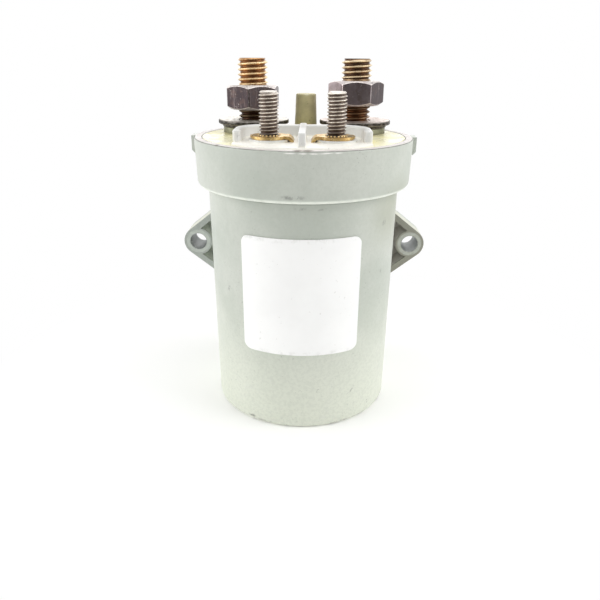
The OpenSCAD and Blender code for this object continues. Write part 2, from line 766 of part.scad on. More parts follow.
// Open retaining ring in the shaft's groove
module retaining_clip() {
    inner = shaft_d / 2 - clip_groove + fit_gap;
    color([0.35, 0.35, 0.37]) translate([0, 0, clip_z]) difference() {
        ring(clip_r, inner, clip_t);
        translate([0, -inner * 0.8, -1]) cube([clip_r + 1, inner * 1.6, clip_t + 2]);
    }
}

module actuator_shaft() {
    color([0.66, 0.67, 0.69]) difference() {
        translate([0, 0, plunger_z]) cylinder(d = shaft_d, h = shaft_z - plunger_z);
        translate([0, 0, clip_z - fit_gap])
            ring(shaft_d, shaft_d / 2 - clip_groove, clip_t + 2 * fit_gap);
    }
}

// Plunger: a steel slug with a pocket for the return spring
module plunger() {
    color([0.48, 0.49, 0.51]) difference() {
        translate([0, 0, plunger_z]) cylinder(d = plunger_d, h = plunger_l);
        translate([0, 0, plunger_z - 1]) cylinder(d = shaft_d + 2 * fit_gap, h = plunger_l + 2);
        translate([0, 0, plunger_top_z - pocket_l]) cylinder(r = spring_pocket_r, h = pocket_l + 1);
    }
}

module return_spring() {
    color([0.62, 0.63, 0.65]) helix(spring_r, return_wire_d,
        plunger_top_z - pocket_l + fit_gap, core_z + pocket_l - fit_gap, 5);
}

// Fixed core, staked in the pole plate, with a bore for the shaft and a pocket for the spring
module core() {
    color([0.48, 0.49, 0.51]) difference() {
        union() {
            translate([0, 0, core_z]) cylinder(r = sleeve_in_r - fit_gap, h = plate_z - core_z);
            translate([0, 0, plate_z - 1]) cylinder(r = core_neck_r, h = plate_t + 1);
        }
        translate([0, 0, core_z - 1])
            cylinder(d = shaft_d + 2 * run_gap, h = chamber_z - core_z + 2);
        translate([0, 0, core_z - 1]) cylinder(r = spring_pocket_r, h = pocket_l + 1);
    }
}

// Slot that the coil leads pass on their way to the winding
module lead_slot() {
    translate([-lead_slot_w / 2, -lead_slot_y - collar_d, winding_top_z - 0.5])
        cube([lead_slot_w, collar_d, chamber_z - winding_top_z + 1]);
}

module pole_plate() {
    color([0.48, 0.49, 0.51]) difference() {
        translate([0, 0, plate_z]) ring(yoke_r, core_neck_r + fit_gap, plate_t);
        lead_slot();
    }
}

module yoke_cup() {
    color([0.48, 0.49, 0.51]) difference() {
        translate([0, 0, floor_t]) cylinder(r = yoke_r, h = plate_z - floor_t);
        translate([0, 0, yoke_floor_z]) cylinder(r = yoke_in_r, h = plate_z);
        lead_slot();
    }
}

// Thin closed tube that the plunger runs in
module guide_sleeve() {
    color([0.70, 0.71, 0.73]) difference() {
        translate([0, 0, yoke_floor_z]) cylinder(r = sleeve_r, h = plate_z - yoke_floor_z);
        translate([0, 0, yoke_floor_z + sleeve_t]) cylinder(r = sleeve_in_r, h = plate_z);
    }
}

module bobbin() {
    color([0.30, 0.31, 0.33]) difference() {
        rotate_extrude() polygon([
            [bobbin_in_r, yoke_floor_z], [bobbin_r, yoke_floor_z], [bobbin_r, winding_z],
            [bobbin_tube_r, winding_z], [bobbin_tube_r, winding_top_z], [bobbin_r, winding_top_z],
            [bobbin_r, bobbin_top_z], [bobbin_in_r, bobbin_top_z]]);
        lead_slot();
    }
}

// Winding, with a flat where the leads leave it
module coil_winding() {
    color([0.60, 0.30, 0.15]) difference() {
        translate([0, 0, winding_z + fit_gap])
            ring(winding_r, bobbin_tube_r + fit_gap, winding_top_z - winding_z - 2 * fit_gap);
        lead_slot();
    }
}

module coil_lead(side) {
    channel_z = header_z + lead_channel_h / 2;
    start_y = coil_y + strap_leg_w / 2 + fit_gap;
    end_z = winding_top_z - 0.4;
    end_y = lead_slot_y + lead_d / 2 + 0.1;
    route = concat(
        [[-start_y, channel_z], [-lead_y + 1.4, channel_z]],
        arc([-lead_y + 1.4, channel_z - 1.4], 1.4, 90, 180, 4),
        arc([-lead_y + 1.4, chamber_z - 0.4], 1.4, 180, 225, 3),
        [[-end_y, end_z + 1.2], [-end_y, end_z]]);
    color([0.62, 0.20, 0.14]) planar_wire(side * leg_x, route, lead_d);
}

left_nut_z = washers_z + left_nut_gap;
right_nut_z = washers_z + right_nut_gap;

housing();
label();
potting();
coil_terminal_platform();
translate([-stud_x, stud_y, 0]) power_stud(left_nut_z);  // power_stud_left
translate([stud_x, stud_y, 0]) power_stud(right_nut_z);  // power_stud_right
translate([-stud_x, stud_y, flange_z]) washer(lower_washer_d, lower_washer_t);  // lower_washer_left
translate([stud_x, stud_y, flange_z]) washer(lower_washer_d, lower_washer_t);  // lower_washer_right
translate([-stud_x, stud_y, flange_z + lower_washer_t]) washer(flat_washer_d, flat_washer_t);  // flat_washer_left
translate([stud_x, stud_y, flange_z + lower_washer_t]) washer(flat_washer_d, flat_washer_t);  // flat_washer_right
translate([-stud_x, stud_y, left_nut_z]) rotate(left_nut_turn) hex_nut();  // power_nut_left
translate([stud_x, stud_y, right_nut_z]) rotate(right_nut_turn) hex_nut();  // power_nut_right
mirror([1, 0, 0]) coil_strap();  // coil_strap_left
coil_strap();  // coil_strap_right
translate([-coil_x, -coil_y, 0]) coil_stud();  // coil_stud_left
translate([coil_x, -coil_y, 0]) coil_stud();  // coil_stud_right
fill_tube();
fill_tube_cap();
header_plate();
contact_chamber();
mirror([1, 0, 0]) fixed_contact();  // fixed_contact_left
fixed_contact();  // fixed_contact_right
contact_bridge();
contact_spring();
spring_seat();
retaining_clip();
actuator_shaft();
plunger();
return_spring();
core();
pole_plate();
yoke_cup();
guide_sleeve();
bobbin();
coil_winding();
coil_lead(-1);  // coil_lead_left
coil_lead(1);  // coil_lead_right
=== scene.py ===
import json
import math

import bmesh
import bpy
from mathutils import Matrix, Vector, noise

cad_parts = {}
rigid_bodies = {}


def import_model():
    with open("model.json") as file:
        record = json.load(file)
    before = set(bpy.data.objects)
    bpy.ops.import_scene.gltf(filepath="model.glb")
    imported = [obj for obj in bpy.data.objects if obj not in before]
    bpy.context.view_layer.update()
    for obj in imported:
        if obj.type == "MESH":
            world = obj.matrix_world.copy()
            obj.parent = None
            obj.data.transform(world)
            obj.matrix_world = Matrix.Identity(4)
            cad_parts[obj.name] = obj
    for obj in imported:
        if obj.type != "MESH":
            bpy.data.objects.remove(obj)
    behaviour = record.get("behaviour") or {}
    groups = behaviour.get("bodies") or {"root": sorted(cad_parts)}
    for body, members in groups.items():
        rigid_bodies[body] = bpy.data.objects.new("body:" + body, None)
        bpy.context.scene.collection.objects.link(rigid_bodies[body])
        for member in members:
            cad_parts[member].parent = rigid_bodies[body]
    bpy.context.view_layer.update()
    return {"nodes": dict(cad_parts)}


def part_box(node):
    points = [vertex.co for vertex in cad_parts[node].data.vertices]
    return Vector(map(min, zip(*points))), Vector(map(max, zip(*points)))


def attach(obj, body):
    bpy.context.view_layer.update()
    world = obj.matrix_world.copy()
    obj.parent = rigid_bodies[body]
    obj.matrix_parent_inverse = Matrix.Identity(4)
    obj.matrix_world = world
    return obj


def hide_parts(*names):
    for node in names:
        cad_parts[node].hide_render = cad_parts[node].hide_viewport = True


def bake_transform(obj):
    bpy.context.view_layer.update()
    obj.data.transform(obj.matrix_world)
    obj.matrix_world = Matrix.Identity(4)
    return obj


for startup_object in list(bpy.data.objects):
    bpy.data.objects.remove(startup_object)
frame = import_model()

MM = 0.001

# Heights and sizes of the visible pieces, in millimetres
RIM_Z = 74.6
POTTING_Z = 74.4
PLATFORM_FLOOR_Z = 74.8
PLATFORM_WALL_Z = 77.6
RIB_Z = 78.0
HEADER_Z = 71.1
POWER_STUD_X, POWER_STUD_Y, POWER_STUD_TOP = 13.85, 8.2, 93.3
POWER_THREAD_R, POWER_THREAD_PITCH, POWER_THREAD_DEPTH = 4.0, 1.25, 0.74
STUD_FLANGE_R, STUD_FLANGE_TOP = 8.3, 76.1
NECK_R, NECK_LAP, THREAD_GAP = 3.6, 0.4, 0.15
NUT_AF, NUT_H, NUT_BORE_R, NUT_FACE_R = 13.0, 6.2, 3.65, 5.4
NUTS = {"left": (80.5, 26.0), "right": (81.7, 58.0)}
# Painted light and shade on each flat of a nut, from 0 dark to 1 light
FLAT_LIGHT_AND_SHADE = {"left": (0.3, 0.2, 0.35, 0.03, 0.14, 0.25), "right": (0.25, 0.4, 1.0, 0.55, 0.12, 0.2)}
COIL_STUD_X, COIL_STUD_Y, COIL_STUD_TOP = 8.1, -13.2, 86.2
COIL_THREAD_R, COIL_THREAD_PITCH, COIL_THREAD_DEPTH = 2.4, 0.8, 0.44
STRAP_Z, STRAP_TOP, STRAP_R, SEAT_R = 75.35, 76.15, 4.6, 5.1
KNURL_R, KNURL_ROOT_R, KNURL_TOP, KNURL_TEETH = 2.65, 2.45, 76.3, 18
STRAP_HOLE_R, STRAP_FOLD_X, STRAP_LEG_X = 2.7, 3.4, 2.85
CAP_X, CAP_Y, CAP_TOP, CAP_FOOT_R, CAP_TOP_R = 0.4, 12.2, 84.3, 3.15, 2.75
WASHERS = [("lower", 8.5, 76.1, 76.8), ("flat", 9.6, 76.8, 77.9)]
WASHER_BORE_R = 4.3
POTTING_R = 26.35
EAR_HOLE_X, EAR_HOLE_Z, EAR_SLANT = 33.5, 39.3, math.radians(38)
WIRE_PITCH = 0.6
WALL_HALF, NOSE_STEPS = 1.0, 12


# Finishes

def tone(r, g, b):
    """A colour as it is read off a screen, 0 to 255, made linear."""
    def linear(c):
        c /= 255.0
        return c / 12.92 if c <= 0.04045 else ((c + 0.055) / 1.055) ** 2.4
    return (linear(r), linear(g), linear(b), 1.0)


def wired(tree, kind, feeds, out=0, **settings):
    """A new node with its inputs set, or joined to other nodes. Gives one of its outputs."""
    node = tree.nodes.new(kind)
    for name, value in settings.items():
        setattr(node, name, value)
    for socket, value in feeds.items():
        if isinstance(value, bpy.types.NodeSocket):
            tree.links.new(value, node.inputs[socket])
        else:
            node.inputs[socket].default_value = value
    return node.outputs[out]


class Finish:
    """A material on Object coordinates, with short names for the nodes that it is made of."""

    def __init__(self, name, metallic=0.0, roughness=0.5):
        self.material = bpy.data.materials.new(name)
        self.material.use_nodes = True
        self.tree = self.material.node_tree
        self.shader = self.tree.nodes["Principled BSDF"].inputs
        self.shader["Metallic"].default_value = metallic
        self.shader["Roughness"].default_value = roughness
        self.place = self.add("ShaderNodeTexCoord", {}, "Object")
        split = self.tree.nodes.new("ShaderNodeSeparateXYZ")
        self.tree.links.new(self.place, split.inputs[0])
        self.x, self.y, self.z = split.outputs

    def add(self, kind, feeds, out=0, **settings):
        return wired(self.tree, kind, feeds, out, **settings)

    def mapped(self, location, scale, turn=(0, 0, 0), kind="POINT"):
        return self.add("ShaderNodeMapping", {"Vector": self.place, "Location": location, "Rotation": turn,
                                              "Scale": scale}, vector_type=kind)

    def grain(self, size, detail, rough, stretch=(1, 1, 1), offset=(0, 0, 0)):
        """Noise with features about size millimetres wide."""
        return self.add("ShaderNodeTexNoise", {"Vector": self.mapped(offset, stretch), "Scale": 1 / (size * MM),
                                               "Detail": detail, "Roughness": rough})

    def ramp(self, value, low, high, to_low=0.0, to_high=1.0):
        return self.add("ShaderNodeMapRange", {"Value": value, "From Min": low, "From Max": high,
                                               "To Min": to_low, "To Max": to_high}, interpolation_type="SMOOTHSTEP")

    def spots(self, size, detail, rough, low, high, to_low=0.0, to_high=1.0, **place):
        """Patches of grain, from to_low to to_high."""
        return self.ramp(self.grain(size, detail, rough, **place), low, high, to_low, to_high)

    def band(self, value, rise, full, fall, end):
        """1 between full and fall, 0 outside rise and end."""
        return self.times(self.ramp(value, rise, full), self.ramp(value, fall, end, 1.0, 0.0))

    def sum(self, a, b, operation="ADD"):
        return self.add("ShaderNodeMath", {0: a, 1: b}, operation=operation)

    def times(self, product, *others):
        for other in others:
            product = self.sum(product, other, "MULTIPLY")
        return product

    def over(self, base, cover, amount):
        """Colour cover laid over colour base, each a screen tone or the output of a node."""
        base, cover = (tone(*c) if isinstance(c, tuple) else c for c in (base, cover))
        return self.add("ShaderNodeMix", {"Factor": amount, 6: base, 7: cover}, 2, data_type="RGBA")

    def attribute(self, name):
        return self.add("ShaderNodeAttribute", {}, "Fac", attribute_type="GEOMETRY", attribute_name=name)

    def length(self, vector):
        return self.add("ShaderNodeVectorMath", {0: vector}, "Value", operation="LENGTH")

    def reach(self, centre, size, turn=(0, 0, 0)):
        """1 at centre, falling to 0 at the edge of an ellipsoid of that half size, in millimetres."""
        inside = self.mapped([c * MM for c in centre], [s * MM for s in size], [math.radians(a) for a in turn],
                             "TEXTURE")
        return self.ramp(self.length(inside), 0.15, 1.0, 1.0, 0.0)

    def from_axis(self):
        """Distance from the upright axis, in metres."""
        return self.length(self.mapped((0, 0, 0), (1, 1, 0)))

    def from_bore(self, x, z):
        """Distance from an axis along Y, in metres."""
        return self.length(self.mapped((-x * MM, 0, -z * MM), (1, 0, 1)))

    def feed(self, socket, value):
        self.tree.links.new(value, self.shader[socket])

    def start(self, base, cover, amount):
        self.coat = self.over(base, cover, amount)

    def lay(self, cover, *amounts):
        """Lays a tone over the colour so far, by the product of the amounts."""
        self.coat = self.over(self.coat, cover, self.times(*amounts))

    def done(self, roughness, height, depth, strength):
        """Joins colour, roughness and a bump of that depth in millimetres, and gives the material."""
        self.feed("Base Color", self.coat)
        self.feed("Roughness", roughness)
        self.feed("Normal", self.add("ShaderNodeBump", {"Strength": strength, "Distance": depth * MM,
                                                        "Height": height}))
        return self.material


# Wear on the moulding: place, half size, darkness and, where it is turned, its turn about X, Y and Z
MOULDING_MARKS = [
    ((-2.0, -28.2, 64.2), (4.5, 2.0, 0.7), 0.55),
    ((20.8, -14.5, 55.3), (1.3, 1.6, 1.5), 0.45),
    ((20.8, -14.3, 42.1), (0.6, 1.0, 1.1), 0.35),
    ((-18.9, -16.6, 37.6), (0.6, 1.0, 2.4), 0.4, (0, 12, 0)),
    ((13.7, -20.9, 9.4), (0.4, 1.2, 2.0), 0.75, (0, 48, 0)),
    ((-13.4, -21.0, 1.2), (1.8, 1.6, 0.6), 0.8),
    ((-8.7, -23.4, 6.6), (0.9, 1.2, 0.3), 0.35, (0, -20, 0)),
    ((-0.2, -25.4, 61.0), (2.2, 1.5, 0.5), 0.4),
    ((4.8, -24.9, 60.8), (1.6, 1.5, 0.35), 0.35, (0, -10, 0)),
    ((-24.0, 6.5, 33.0), (1.0, 3.0, 1.6), 0.3, (10, 0, 0)),
    ((23.5, 9.0, 22.0), (1.0, 2.0, 0.7), 0.35, (-30, 0, 0)),
    ((6.0, 28.8, 20.0), (6.0, 1.0, 1.2), 0.25, (0, 25, 0)),
    ((-28.0, -5.0, 68.0), (1.0, 1.8, 0.6), 0.3),
]

# Marks on the rim: dark smudges, and pale scuffs where the last value is below zero
RIM_MARKS = [
    ((-0.9, -27.4, 74.6), (1.4, 1.7, 0.7), 0.9),
    ((1.4, -27.4, 74.6), (1.7, 1.7, 0.7), 1.0),
    ((-2.6, -28.4, 74.09), (1.9, 0.9, 0.22), -1.0),
    ((0.3, -28.5, 74.07), (1.3, 0.9, 0.24), -1.0),
    ((2.7, -28.4, 74.03), (1.4, 0.9, 0.24), -1.0, (0, 2, 0)),
    ((5.6, -28.0, 74.09), (2.4, 0.9, 0.2), -1.0, (0, -2, 0)),
    ((8.2, -27.3, 74.1), (1.3, 0.9, 0.22), -0.8),
    ((-19.6, -19.8, 74.5), (0.9, 0.9, 0.6), 0.9),
    ((-23.5, -13.5, 74.5), (1.2, 1.2, 0.5), 0.6),
    ((22.5, 14.5, 74.5), (2.5, 2.0, 0.5), 0.6),
]


def make_moulding():
    f = Finish("moulded_grey_housing", roughness=0.42)
    cloud = f.grain(22.0, 3.0, 0.55)
    f.start((186, 192, 182), (199, 203, 194), f.ramp(cloud, 0.36, 0.64))
    # Painted light: the lower body is painted paler, as light bounced from the floor makes it
    f.lay((227, 231, 215), f.ramp(f.z, 0.045, 0.0, 0.0, 0.78))
    rubbed = f.times(f.spots(4.2, 5.0, 0.65, 0.55, 0.75), 0.22)
    f.lay((212, 214, 208), rubbed)
    mottle = f.spots(0.85, 4.0, 0.7, 0.40, 0.64, offset=(0.9, 0.4, 0.2))
    f.lay((172, 178, 166), mottle, 0.2)
    specks = f.spots(0.55, 2.0, 0.5, 0.66, 0.74)
    drift = f.spots(11.0, 2.0, 0.5, 0.42, 0.66, offset=(0.3, 0.1, 0.2))
    f.lay((122, 126, 118), specks, drift, 0.5)
    # Painted shade: a broad warm darkening on the right, under the collar
    painted_shade_under_collar = f.reach((23.0, -10.0, 58.0), (11.0, 18.0, 13.0))
    f.lay((168, 171, 152), painted_shade_under_collar, 0.6)
    fleck = f.grain(1.1, 4.0, 0.7, offset=(0.05, 0.02, 0.4))
    soil = f.ramp(fleck, 0.40, 0.62)
    for centre, size, dark, *turn in MOULDING_MARKS:
        mark = f.times(f.reach(centre, size, *turn), soil, dark)
        f.lay((74, 72, 70), mark)
    foot = f.times(f.ramp(f.z, 0.0012, 0.0002), f.spots(2.6, 4.0, 0.7, 0.50, 0.66))
    foot = f.times(foot, f.ramp(f.from_axis(), 0.0215, 0.0238, 0.06, 1.0))
    f.lay((96, 92, 88), foot, 0.8)
    # Painted highlight: the collar's lower rounding is painted pale in patches, as a reflection of the floor, and
    # painted shade darkens the corner under it
    outside = f.ramp(f.from_axis(), 0.0262, 0.0268)
    edge = f.times(f.band(f.z, 0.0624, 0.0626, 0.0631, 0.0636), outside)
    painted_sheen_patches = f.spots(3.4, 4.0, 0.65, 0.28, 0.58, 0.55, 1.0)
    f.lay((228, 232, 222), edge, painted_sheen_patches)
    corner = f.times(f.band(f.z, 0.0617, 0.0622, 0.0630, 0.0631), f.ramp(f.from_axis(), 0.0270, 0.0262))
    f.lay((120, 124, 116), corner, 0.6)
    # The rim: a pale top over a thin broken dark line, scuffed in front
    line = f.band(f.z, 0.07434, 0.07440, 0.07449, 0.07455)
    broken = f.spots(3.6, 5.0, 0.7, 0.30, 0.56, 0.35, 1.0, offset=(0.7, 0.2, 0.1))
    f.lay((96, 90, 84), line, broken, 0.8)
    f.lay((214, 207, 204), f.ramp(f.z, 0.07453, 0.07458))
    chips = f.times(f.ramp(f.z, 0.0744, 0.0745), f.spots(1.0, 4.0, 0.75, 0.60, 0.68, offset=(0.1, 0.6, 0.3)))
    sides = f.ramp(f.y, -0.016, -0.008)
    f.lay((104, 92, 84), chips, sides, 0.8)
    for centre, size, dark, *turn in RIM_MARKS:
        patchy = f.ramp(fleck, 0.30, 0.52, 0.5, 1.0)
        mark = f.times(f.reach(centre, size, *turn), patchy, abs(dark))
        f.lay((252, 250, 246) if dark < 0 else (88, 76, 58), mark)
    lug = f.reach((-29.4, 4.0, 72.2), (1.6, 4.0, 3.6))
    f.lay((230, 231, 226), lug, 0.9)
    # Ears: painted shade darkens the fronts, the right one browner; painted light makes the pockets paler; painted
    # shade darkens the holes; bright rings from screw heads
    out_x = f.sum(f.x, 0.0, "ABSOLUTE")
    up_z = f.sum(f.sum(f.z, -EAR_HOLE_Z * MM), 0.0, "ABSOLUTE")
    slant = f.sum(f.times(out_x, math.sin(EAR_SLANT)), f.times(up_z, math.cos(EAR_SLANT)))
    ear = f.times(f.ramp(out_x, 0.0215, 0.0245), f.ramp(slant, 0.0270, 0.0265), f.ramp(f.y, 0.0184, 0.0187))
    front = f.times(ear, f.ramp(f.y, 0.0195, 0.0190))
    right = f.ramp(f.x, -0.005, 0.005)
    ear_front_shade_tone = f.over((168, 174, 169), (134, 131, 117), right)
    f.lay(ear_front_shade_tone, front, 0.8)
    # Painted light: the pockets are painted paler than the moulding
    pocket = f.times(ear, f.ramp(f.y, 0.0190, 0.0200), f.ramp(slant, 0.0246, 0.0240))
    pocket_light_tone = f.over((228, 232, 224), (212, 208, 203), right)
    f.lay(pocket_light_tone, pocket, 0.9)
    # Painted highlight: the upper slanted faces of the ears are painted cream
    slope = f.times(f.ramp(slant, 0.0244, 0.0252), f.ramp(f.z, 0.034, 0.047),
                    f.band(f.y, 0.0186, 0.0205, 0.0215, 0.0290))
    f.lay((232, 229, 204), slope, 0.5)
    for sign in (-1, 1):
        gap = f.from_bore(sign * EAR_HOLE_X, EAR_HOLE_Z)
        # Painted shade: the walls of the holes are painted darker
        f.lay((150, 156, 153), f.ramp(gap, 0.00270, 0.00262), ear)
        ring = f.times(f.band(gap, 0.0026, 0.0029, 0.0036, 0.0039), f.spots(1.8, 4.0, 0.7, 0.25, 0.6, 0.35, 0.9))
        f.lay((214, 220, 212), ring, 0.55)
    return f.done(f.spots(6.0, 4.0, 0.6, 0.3, 0.7, 0.36, 0.50), f.grain(0.55, 3.0, 0.55), 0.02, 0.35)


def make_label_film():
    f = Finish("blank_label_film", roughness=0.4)
    haze = f.spots(9.0, 3.0, 0.6, 0.35, 0.7)
    f.start((254, 254, 253), (250, 250, 249), haze)
    border = f.sum(f.ramp(f.z, 0.0239, 0.0225), f.ramp(f.z, 0.0521, 0.0535), "MAXIMUM")
    rubbed = f.times(border, f.spots(2.0, 4.0, 0.7, 0.45, 0.7))
    f.lay((214, 215, 211), rubbed, 0.6)
    specks = f.spots(0.9, 2.0, 0.5, 0.70, 0.76)
    f.lay((206, 206, 202), specks, 0.4)
    return f.done(f.spots(5.0, 3.0, 0.6, 0.3, 0.7, 0.34, 0.46), f.grain(3.5, 3.0, 0.5), 0.02, 0.25)


def make_epoxy():
    f = Finish("cast_epoxy", roughness=0.3)
    f.shader["Specular IOR Level"].default_value = 0.2
    swirl = f.spots(8.0, 4.0, 0.6, 0.35, 0.68)
    f.start((246, 242, 210), (242, 235, 181), swirl)
    f.lay((252, 250, 243), f.ramp(f.y, -0.0190, -0.0225))
    edge = f.times(f.ramp(f.from_axis(), 0.0238, 0.0262), f.ramp(f.y, -0.021, -0.016))
    fleck = f.spots(1.3, 5.0, 0.75, 0.56, 0.67)
    f.lay((92, 78, 58), edge, fleck, 0.75)
    dash = f.reach((-20.9, -0.4, 74.4), (1.0, 0.3, 0.6), (0, 0, 42))
    f.lay((70, 58, 46), dash, 0.9)
    dust = f.spots(0.9, 2.0, 0.5, 0.68, 0.75)
    f.lay((160, 148, 116), dust, 0.5)
    return f.done(f.spots(4.0, 3.0, 0.6, 0.3, 0.7, 0.22, 0.42), f.grain(2.4, 3.0, 0.5), 0.05, 0.4)


def make_platform_plastic():
    f = Finish("platform_white", roughness=0.4)
    cloud = f.spots(7.0, 3.0, 0.55, 0.35, 0.68)
    f.start((236, 236, 233), (228, 229, 226), cloud)
    # Painted light: the platform's floor is painted paler
    floor = f.ramp(f.z, 0.0752, 0.0749)
    f.lay((252, 250, 242), floor, 0.9)
    dust = f.spots(0.8, 2.0, 0.5, 0.67, 0.74)
    f.lay((158, 156, 152), dust, 0.45)
    low = f.times(f.ramp(f.z, 0.0756, 0.0747), f.spots(2.2, 4.0, 0.7, 0.50, 0.68))
    f.lay((196, 188, 166), low, 0.1)
    # Painted reflection: a brass-yellow glow on the floor beside each strap fold
    for sign in (-1, 1):
        glow = f.reach((sign * 4.2, -15.9, 75.0), (2.2, 1.3, 0.8))
        f.lay((228, 212, 164), glow, 0.3)
    return f.done(f.spots(3.0, 3.0, 0.6, 0.3, 0.7, 0.34, 0.48), f.grain(0.7, 3.0, 0.5), 0.02, 0.25)


def make_thread_copper(name, crest_highlight_tone, flank_tone, root_shade_tone, under_nut_tone, dark_below):
    """Threaded copper: highlights painted on the crests, shade painted in the roots, and darker below the nut."""
    f = Finish(name, metallic=0.85, roughness=0.36)
    crest = f.attribute("crest")
    patchy = f.grain(1.6, 4.0, 0.65)
    # Painted shade in the roots, painted highlights on the crests
    f.start(root_shade_tone, flank_tone, f.ramp(crest, 0.04, 0.40))
    f.lay(crest_highlight_tone, f.ramp(f.sum(crest, f.times(patchy, 0.6)), 0.80, 1.25))
    stain = f.spots(2.4, 5.0, 0.7, 0.48, 0.68, offset=(0.2, 0.5, 0.1))
    f.lay((120, 72, 40), stain, 0.5)
    under_nut = f.ramp(f.sum(f.z, f.times(patchy, 0.0012)), dark_below * MM, (dark_below + 1.4) * MM, 1.0, 0.0)
    f.lay(under_nut_tone, under_nut, 0.82)
    return f.done(f.ramp(patchy, 0.3, 0.7, 0.28, 0.48), f.grain(0.5, 3.0, 0.6), 0.03, 0.4)


def make_flange_plating():
    f = Finish("tarnished_flange_plating", metallic=0.7, roughness=0.45)
    patch = f.spots(2.6, 4.0, 0.65, 0.36, 0.66)
    f.start((146, 146, 122), (112, 112, 88), patch)
    low = f.times(f.ramp(f.z, 0.0754, 0.0744), f.spots(1.6, 4.0, 0.7, 0.35, 0.65))
    f.lay((104, 100, 78), low, 0.6)
    return f.done(f.spots(1.8, 3.0, 0.6, 0.3, 0.7, 0.36, 0.55), f.grain(0.6, 3.0, 0.5, stretch=(1, 1, 4)), 0.02, 0.3)


def make_washer_plating(name, bright, dull, stain_tone, rim_shade_tone):
    """Plating, with the rim painted nearly black as shade, and rubbed bright on the edges."""
    f = Finish(name, metallic=1.0, roughness=0.42)
    patch = f.spots(1.7, 5.0, 0.7, 0.36, 0.66)
    f.start(bright, dull, patch)
    stain = f.spots(4.2, 4.0, 0.6, 0.50, 0.68, offset=(0.1, 0.4, 0.2))
    f.lay(stain_tone, stain, 0.5)
    # Painted shade: the rim is painted nearly black
    f.lay(rim_shade_tone, f.attribute("rim"), f.spots(1.1, 4.0, 0.7, 0.3, 0.6, 0.7, 1.0))
    rubbed = f.ramp(f.sum(f.attribute("edge"), f.times(f.grain(0.8, 4.0, 0.7), 0.6)), 0.80, 1.15)
    f.lay((186, 178, 170), rubbed, 0.3)
    return f.done(f.spots(1.2, 4.0, 0.65, 0.3, 0.7, 0.32, 0.58), f.grain(0.7, 4.0, 0.6), 0.03, 0.45)


def make_nut_plating():
    """Dark plating with light and shade painted on each flat, upright tool marks, and chipped edges painted bright
    as highlights.
    """
    f = Finish("dark_nut_plating", metallic=1.0, roughness=0.36)
    # Painted light and shade: each flat gets its own tone between dark and light
    flat = f.attribute("flat")
    f.start((52, 45, 47), (198, 182, 184), flat)
    patch = f.spots(3.0, 4.0, 0.6, 0.34, 0.68)
    f.lay((84, 74, 74), patch, 0.28)
    streak = f.spots(0.55, 4.0, 0.7, 0.54, 0.74, stretch=(1, 1, 0.12))
    f.lay((160, 147, 145), streak, 0.6)
    brown = f.spots(1.9, 4.0, 0.65, 0.48, 0.66, offset=(0.2, 0.9, 0.4))
    f.lay((104, 84, 76), brown, 0.35)
    nicks = f.spots(0.5, 3.0, 0.6, 0.66, 0.72, offset=(0.6, 0.1, 0.8))
    f.lay((220, 214, 208), nicks, 0.6)
    cone = f.attribute("cone")
    f.feed("Metallic", f.ramp(cone, 0.0, 1.0, 1.0, 0.45))
    turned = f.times(cone, f.spots(1.3, 4.0, 0.7, 0.30, 0.58, 0.35, 1.0))
    f.lay((214, 207, 203), turned, 0.85)
    # Chipped edges, with painted highlights along them
    chipped_and_highlit = f.sum(f.attribute("edge"), f.times(f.grain(0.8, 4.0, 0.7), 0.75))
    f.lay((222, 214, 210), f.ramp(chipped_and_highlit, 0.92, 1.30), 0.9)
    return f.done(f.ramp(streak, 0.0, 1.0, 0.32, 0.48), f.grain(0.45, 4.0, 0.65, stretch=(1, 1, 0.15)), 0.02, 0.4)


def make_coil_thread_steel():
    f = Finish("plated_coil_thread", metallic=0.75, roughness=0.42)
    crest = f.attribute("crest")
    # Painted shade in the roots, and painted highlights in patches on the crests
    f.start((106, 92, 84), (170, 158, 146), f.ramp(crest, 0.05, 0.5))
    spots = f.ramp(f.sum(crest, f.times(f.grain(1.3, 4.0, 0.7), 1.1)), 1.22, 1.62)
    f.lay((238, 231, 221), spots)
    stain = f.spots(1.4, 4.0, 0.65, 0.48, 0.68)
    f.lay((118, 100, 88), stain, 0.45)
    f.lay((236, 230, 222), f.ramp(f.z, 0.08555, 0.08590, 0.0, 0.8))
    foot = f.times(f.ramp(f.z, 0.0795, 0.0766), f.spots(1.8, 4.0, 0.7, 0.30, 0.58, 0.4, 1.0))
    f.lay((78, 62, 54), foot, 0.75)
    # Painted highlights on the teeth of the collar, painted shade in the notches between them
    lit_teeth = f.ramp(f.z, 0.07645, 0.07635)
    f.lay((244, 212, 150), lit_teeth, f.ramp(crest, 0.4, 0.9))
    painted_notch_shade = f.times(f.ramp(f.z, 0.0767, 0.0763), f.ramp(crest, 0.7, 0.1))
    f.lay((44, 34, 26), painted_notch_shade, 0.9)
    return f.done(f.spots(0.9, 3.0, 0.6, 0.3, 0.7, 0.34, 0.52), f.grain(0.35, 3.0, 0.6), 0.015, 0.35)


def make_strap_brass():
    f = Finish("stamped_brass", metallic=1.0, roughness=0.33)
    patch = f.spots(1.7, 5.0, 0.68, 0.36, 0.66)
    f.start((236, 208, 148), (200, 164, 106), patch)
    stain = f.spots(2.6, 4.0, 0.65, 0.55, 0.72, offset=(0.4, 0.2, 0.3))
    f.lay((126, 88, 54), stain, 0.55)
    return f.done(f.ramp(patch, 0.0, 1.0, 0.24, 0.44), f.grain(0.5, 3.0, 0.6), 0.015, 0.35)


